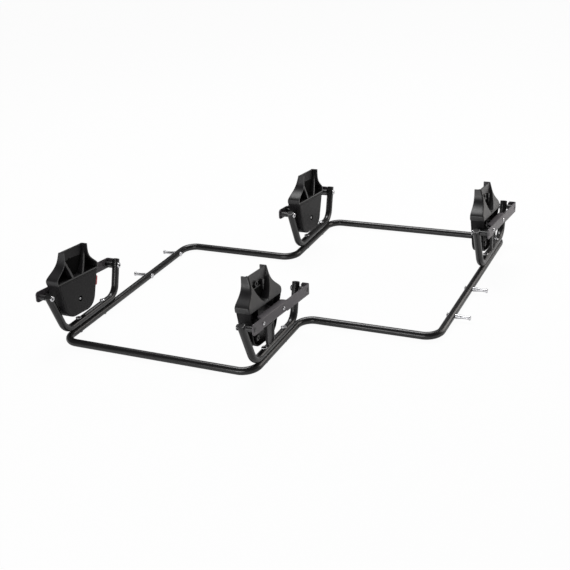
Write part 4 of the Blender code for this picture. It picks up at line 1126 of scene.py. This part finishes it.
def casing_wall():
    """The casing's side wall: its outline carried outwards from the shield to the rim."""
    path, ways = casing_path()
    inwards = np.column_stack([-ways[:, 1], ways[:, 0]])
    share = np.linspace(0, 1, 7)[:, None]

    def face(outline):
        """The outline at each share of the depth."""
        along, up = outline.T
        return grid(CASING_INNER + share * (casing_rim(up) - CASING_INNER), along, up)

    return shell(face(path), face(path + inwards * CASING_WALL))


def casing_panel():
    """The upright panel inside the casing: width from -1 to 1 times its half width at each height."""
    curved = CASING_BOTTOM + PANEL_GAP + PANEL_CURVE * np.linspace(0, 1, 12) ** 2
    straight = np.linspace(CASING_BOTTOM + PANEL_STRAIGHT, LIP + PANEL_GAP, 14)
    up = np.concatenate([curved, straight])[:, None]
    along = (casing_half(up) - PANEL_GAP) * np.linspace(-1, 1, 13)[None]
    return sheet(PANEL, WALL, along, up)


def casing_ribs():
    """Thin upright ribs on the panel's outer side, following the rim and the casing's bottom."""
    ribs = []
    for along in CASING_RIBS:
        bottom = np.interp(abs(along), *casing_flank())
        up = np.linspace(bottom + PANEL_GAP, LIP - HAIR, 12)[:, None]
        cut = CASING_RIB_CUT * np.clip(1 - (up - bottom) / CASING_RIB_CUT_HEIGHT, 0, 1)
        edge = casing_rim(up) - CASING_RIB_SETBACK - cut
        out = PANEL - LAP + (edge - PANEL) * np.linspace(0, 1, 5)[None]
        ribs.append(rib(out, along, up, CASING_RIB))
    return ribs


def boss(radius, face, place, foot=1.2 * MM, bore=0.0, depth=5 * MM):
    """A round boss on the panel, with a fillet at its foot and, where it has a bore, one in its end."""
    end = [(0, face)]
    if bore:
        end = [(0, face - depth), (bore, face - depth), (bore, face - BOSS_EDGE), (bore + BOSS_EDGE, face)]
    side = [(radius - BOSS_EDGE, face), (radius, face - BOSS_EDGE), (radius, BOSS_ROOT + foot),
            (radius + BOSS_FILLET, BOSS_ROOT + foot / 3), (radius + foot, BOSS_ROOT), (0, BOSS_ROOT)]
    return turned(end + side, place=place)


def bosses():
    """The boss in the recess, and on each side one for the bar's screw and one in the casing."""
    surfaces = [boss(radius=5.2 * MM, face=PANEL + 2.8 * MM, place=CATCH_BOSS, bore=2.6 * MM, depth=3 * MM)]
    for side in (-1, 1):
        surfaces += [
            boss(radius=5.5 * MM, face=BAR_FACE - BAR_SHEET - 0.3 * MM,
                 place=(0, side * BAR_SCREW_SPACING / 2, 0), foot=1.5 * MM),
            boss(radius=5 * MM, face=7.5 * MM, place=(0, side * CASING_BOSS_ALONG, CASING_BOSS_UP),
                 bore=1.9 * MM)]
    return surfaces


def painted_shades():
    """Painted shade: near-black discs in the bores, a near-black cup round the shield's screw, and near-black
    sheets on the panel where the pocket lies in shade.
    """
    return [shade_disc(radius=2.55 * MM, out=PANEL + 0.4 * MM, place=CATCH_BOSS),
            shade_disc(radius=1.2 * MM, out=PANEL + KEEL_DEPTH + 0.1 * MM, place=KEEL_HOLE_SHADE),
            shade_disc(radius=2.6 * MM, out=PANEL - WALL + 0.1 * MM, place=CATCH_BOSS),
            turned(SCREW_SHADE_CUP + (0, INNER), 28, place=(0, 0, SHIELD_SCREW)),
            pocket_shade_sheet(PANEL + 0.25 * MM, RECESS_FOOT + 1.2 * MM),
            pocket_shade_sheet(PANEL - WALL + 0.25 * MM, RECESS_FOOT - LAP)]


def lever_ears():
    """Two ears that hold the lever's axle, each a rounded block."""
    root, end = PANEL - 2 * LAP, LEVER_AXIS_OUT + EAR_REACH
    low, high = LEVER_AXIS_UP - EAR_REACH, LEVER_AXIS_UP + EAR_REACH
    corner = EAR_REACH - 0.01 * MM
    outline, _ = rounded_path([(root, low), (end, low), (end, high), (root, high)],
                              [0, corner, corner, 0], closed=True)
    left = LEVER_OFFSET - LEVER_HALF - EAR_GAP
    right = LEVER_OFFSET + LEVER_HALF + EAR_GAP
    return [prism(outline, left - EAR_WIDTH, left, "u"), prism(outline, right, right + EAR_WIDTH, "u")]


class ADAPTER_OT_towers(bpy.types.Operator):
    """Build the four adapter mouldings: tower, deck, lip, casing, ribs and bosses, with painted shade in their
    bores and pocket
    """

    bl_idname = "adapter_frame.towers"
    bl_label = "Adapter towers"

    def execute(self, context):
        sizes = context.scene.adapter_moulding
        tower = [tower_skin(sizes.corner), *tower_ribs(sizes.rib), deck_plate(), *recess_details(),
                 casing_panel()]
        # A sheet of the darker moulding on the panel's back paints shade in the hollow between the ribs; the
        # casing and corner blocks take that moulding too.
        back_shade_sheet = pocket_shade_sheet(PANEL - WALL + 0.35 * MM, RECESS_FOOT - LAP, TOWER_TOP - LAP)
        casing = [casing_wall(), *casing_ribs(), *lever_ears(), *solid_corners(), back_shade_sheet]
        pieces = (("adapter_tower", tower, "satin_moulding", "adapter", sizes.edge),
                  ("adapter_casing", casing, "matt_moulding", None, sizes.edge),
                  ("adapter_bosses", bosses(), "satin_moulding", None, 0),
                  ("catch_bores", painted_shades(), "bore_shadow", None, 0))
        for name in BRACKETS:
            for label, surfaces, look, node, bevel in pieces:
                add_to(name, label, adapter_place, surfaces, look, "plastic", node, bevel=bevel)
        return {"FINISHED"}


class ADAPTER_OT_shields(bpy.types.Operator):
    """Build the four smooth shields on the seats' side"""

    bl_idname = "adapter_frame.shields"
    bl_label = "Shields"

    def execute(self, context):
        corners = [(-CASING_FOOT_HALF, CASING_BOTTOM), (CASING_FOOT_HALF, CASING_BOTTOM),
                   (CASING_TOP_HALF, SHIELD_TOP), (-CASING_TOP_HALF, SHIELD_TOP)]
        radii = [CASING_CORNER, CASING_CORNER, SHIELD_TOP_CORNER, SHIELD_TOP_CORNER]
        path = rounded_path(corners, radii, closed=True, step=math.radians(3))
        outline, _ = resampled(*path, longest=2.5 * MM, closed=True)

        def height(distance, reach):
            """Sunk seat round the screw, a raised middle, and a quarter round at the edge."""
            sink = SCREW_SINK * (1 - smooth((distance - SCREW_WELL) / SCREW_WELL_SLOPE))
            step = SHIELD_STEP * smooth((distance - (reach - SHIELD_BORDER)) / SHIELD_SLOPE)
            return INNER + sink + step + quarter_round(SHIELD_EDGE, reach - distance)

        shield = star_plate(outline, (0, SHIELD_SCREW), SHIELD_CIRCLES, SHIELD_SHARES, SHIELD_INSETS,
                            height, INNER + SHIELD_THICKNESS)
        for name in BRACKETS:
            # The shield takes the moulding that is darkened as painted shade.
            add_to(name, "smooth_shield", adapter_place, [shield], "matt_moulding", "plastic", "shield")
        return {"FINISHED"}


class ADAPTER_OT_release_levers(bpy.types.Operator):
    """Build the four dished release levers, each on its own hinge"""

    bl_idname = "adapter_frame.release_levers"
    bl_label = "Release levers"

    def execute(self, context):
        corners = [(-LEVER_HALF, LEVER_BOTTOM), (LEVER_HALF, LEVER_BOTTOM),
                   (LEVER_HALF, LEVER_AXIS_UP), (-LEVER_HALF, LEVER_AXIS_UP)]
        path = rounded_path(corners, LEVER_CORNERS, closed=True)
        outline, _ = resampled(*path, longest=1.5 * MM, closed=True)

        def height(distance, reach):
            """A dished face with a raised, rounded rim."""
            rim = LEVER_RIM * smooth((distance - (reach - LEVER_RIM_WIDTH)) / LEVER_RIM_SLOPE)
            return LEVER_FACE + rim - quarter_round(LEVER_EDGE, reach - distance)

        plate = star_plate(outline, (0, (LEVER_BOTTOM + LEVER_AXIS_UP) / 2), LEVER_CIRCLES, LEVER_SHARES,
                           LEVER_INSETS, height, LEVER_FACE - LEVER_THICKNESS)
        barrel = turned(rod(BARREL_RADIUS, -LEVER_HALF, LEVER_HALF, BARREL_EDGE), axis="u",
                        place=(LEVER_AXIS_OUT, 0, LEVER_AXIS_UP))
        surfaces = [(points + (0, LEVER_OFFSET, 0), faces) for points, faces in (plate, barrel)]
        for name in BRACKETS:
            add_to(name, "dished_lever", adapter_place, surfaces, "satin_moulding", "plastic", "lever",
                   body=f"{name}_release")
        return {"FINISHED"}


class ADAPTER_OT_tell_tale(bpy.types.Operator):
    """Build the red tab on the front left adapter"""

    bl_idname = "adapter_frame.tell_tale"
    bl_label = "Tell-tale"

    def execute(self, context):
        low, high = TELL_TALE_UP
        foot, head = casing_half(np.array(TELL_TALE_UP))
        inside, outside = TELL_TALE_REACH
        outline, _ = rounded_path([(foot + inside, low), (foot + outside, low), (head + outside, high),
                                   (foot + inside, high)],
                                  [0, TELL_TALE_CORNER, TELL_TALE_CORNER, 0], closed=True)
        add_to("front_left", "red_tab", adapter_place, [prism(outline, *TELL_TALE_OUT)], "tell_tale_red",
               "tell_tale", "tell_tale", bevel=TELL_TALE_EDGE)
        return {"FINISHED"}


# Stage

def floor_material(colour):
    """A plain pale floor. Seen straight it is white, gloss mirrors a part of that, and it keeps shadows."""
    material = bpy.data.materials.new("pale_floor")
    material.use_nodes = True
    tree = material.node_tree
    tree.nodes.clear()
    path = tree.nodes.new("ShaderNodeLightPath").outputs
    mirrored = maths(tree, "MULTIPLY", path["Is Glossy Ray"], MIRRORED_FLOOR)
    seen = maths(tree, "MAXIMUM", path["Is Camera Ray"], mirrored)
    seen = maths(tree, "MAXIMUM", seen, path["Is Transmission Ray"])
    lit = add_node(tree, "ShaderNodeBsdfDiffuse", {"Color": (*colour, 1)})
    white = add_node(tree, "ShaderNodeEmission", {"Strength": 1.0})
    mix = add_node(tree, "ShaderNodeMixShader", {"Fac": maths(tree, "MULTIPLY", seen, FLOOR_WHITENESS),
                                                 1: lit.outputs[0], 2: white.outputs[0]})
    add_node(tree, "ShaderNodeOutputMaterial", {"Surface": mix.outputs[0]})
    return material


def white_world():
    """The world: white where the camera sees it, and a dim room for everything else."""
    world = bpy.data.worlds.new("studio_world")
    world.use_nodes = True
    tree = world.node_tree
    background = tree.nodes["Background"].inputs
    background["Color"].default_value = (*WHITE, 1)
    path = tree.nodes.new("ShaderNodeLightPath").outputs
    straight = maths(tree, "MULTIPLY", path["Is Camera Ray"], 1 - ROOM_LIGHT)
    tree.links.new(maths(tree, "ADD", straight, ROOM_LIGHT), background["Strength"])
    return world


def add_lamp(name, place, target, width, height, power, colour):
    """A soft rectangular lamp that faces a point."""
    data = bpy.data.lights.new(name, "AREA")
    data.shape = "RECTANGLE"
    data.size = width
    data.size_y = height
    data.energy = power
    data.color = colour
    lamp = bpy.data.objects.new(name, data)
    bpy.context.scene.collection.objects.link(lamp)
    lamp.location = place
    lamp.rotation_euler = (Vector(target) - Vector(place)).to_track_quat("-Z", "Y").to_euler()


def aim_camera(settings):
    """Camera at the photograph's angle, from its azimuth, elevation and roll."""
    azimuth, elevation, roll = settings.azimuth, settings.elevation, settings.roll
    ahead = Vector((-math.sin(azimuth) * math.cos(elevation), math.cos(azimuth) * math.cos(elevation),
                    -math.sin(elevation)))
    right = ahead.cross(Vector((0, 0, 1))).normalized()
    down = ahead.cross(right).normalized()
    rolled_right = math.cos(roll) * right + math.sin(roll) * down
    rolled_up = math.sin(roll) * right - math.cos(roll) * down
    data = bpy.data.cameras.new("studio_camera")
    data.lens = settings.lens
    data.sensor_width = SENSOR
    camera = bpy.data.objects.new("studio_camera", data)
    bpy.context.scene.collection.objects.link(camera)
    matrix = Matrix((rolled_right, rolled_up, -ahead)).transposed().to_4x4()
    matrix.translation = Vector(CAMERA_PLACE)
    camera.matrix_world = matrix
    bpy.context.scene.camera = camera


class ADAPTER_OT_stage(bpy.types.Operator):
    """Build the floor, the lamps, the world and the camera"""

    bl_idname = "adapter_frame.stage"
    bl_label = "Stage"

    def execute(self, context):
        settings = context.scene.adapter_stage
        corners = FLOOR_HALF * np.array([(-1, -1, 0), (1, -1, 0), (1, 1, 0), (-1, 1, 0)], float)
        mesh = bpy.data.meshes.new("studio_floor")
        mesh.from_pydata(corners.tolist(), [], [(0, 1, 2, 3)])
        floor = bpy.data.objects.new("studio_floor", mesh)
        context.scene.collection.objects.link(floor)
        mesh.materials.append(floor_material(settings.floor))
        context.scene.world = white_world()
        for lamp in LAMPS:
            add_lamp(*lamp)
        aim_camera(settings)
        context.scene.view_settings.view_transform = "Standard"
        return {"FINISHED"}


OPERATORS = (ADAPTER_OT_loop_tube, ADAPTER_OT_bracket_tubes, ADAPTER_OT_rivets, ADAPTER_OT_pushchair_pins,
             ADAPTER_OT_screws, ADAPTER_OT_channel_bars, ADAPTER_OT_towers, ADAPTER_OT_shields,
             ADAPTER_OT_release_levers, ADAPTER_OT_tell_tale, ADAPTER_OT_stage)
SETTINGS = {"adapter_tube": TubeSettings, "adapter_moulding": MouldingSettings,
            "adapter_finish": FinishSettings, "adapter_stage": StageSettings}


class ADAPTER_PT_panel(bpy.types.Panel):
    """Buttons and sizes of the adapter frame"""

    bl_idname = "ADAPTER_PT_panel"
    bl_label = "Adapter Frame"
    bl_space_type = "VIEW_3D"
    bl_region_type = "UI"
    bl_category = "Adapter Frame"

    def draw(self, context):
        for operator in OPERATORS:
            self.layout.operator(operator.bl_idname)
        for label, group in SETTINGS.items():
            box = self.layout.box()
            for field in group.__annotations__:
                box.prop(getattr(context.scene, label), field)


def register():
    """Register the settings, the operators and the panel."""
    for label, group in SETTINGS.items():
        bpy.utils.register_class(group)
        setattr(bpy.types.Scene, label, bpy.props.PointerProperty(type=group))
    for operator in OPERATORS:
        bpy.utils.register_class(operator)
    bpy.utils.register_class(ADAPTER_PT_panel)


def unregister():
    """Undo register."""
    bpy.utils.unregister_class(ADAPTER_PT_panel)
    for operator in reversed(OPERATORS):
        bpy.utils.unregister_class(operator)
    for label, group in SETTINGS.items():
        delattr(bpy.types.Scene, label)
        bpy.utils.unregister_class(group)


def main():
    """Build everything in order."""
    register()
    for operator in OPERATORS:
        group, name = operator.bl_idname.split(".")
        getattr(getattr(bpy.ops, group), name)()


if __name__ == "__main__":
    main()
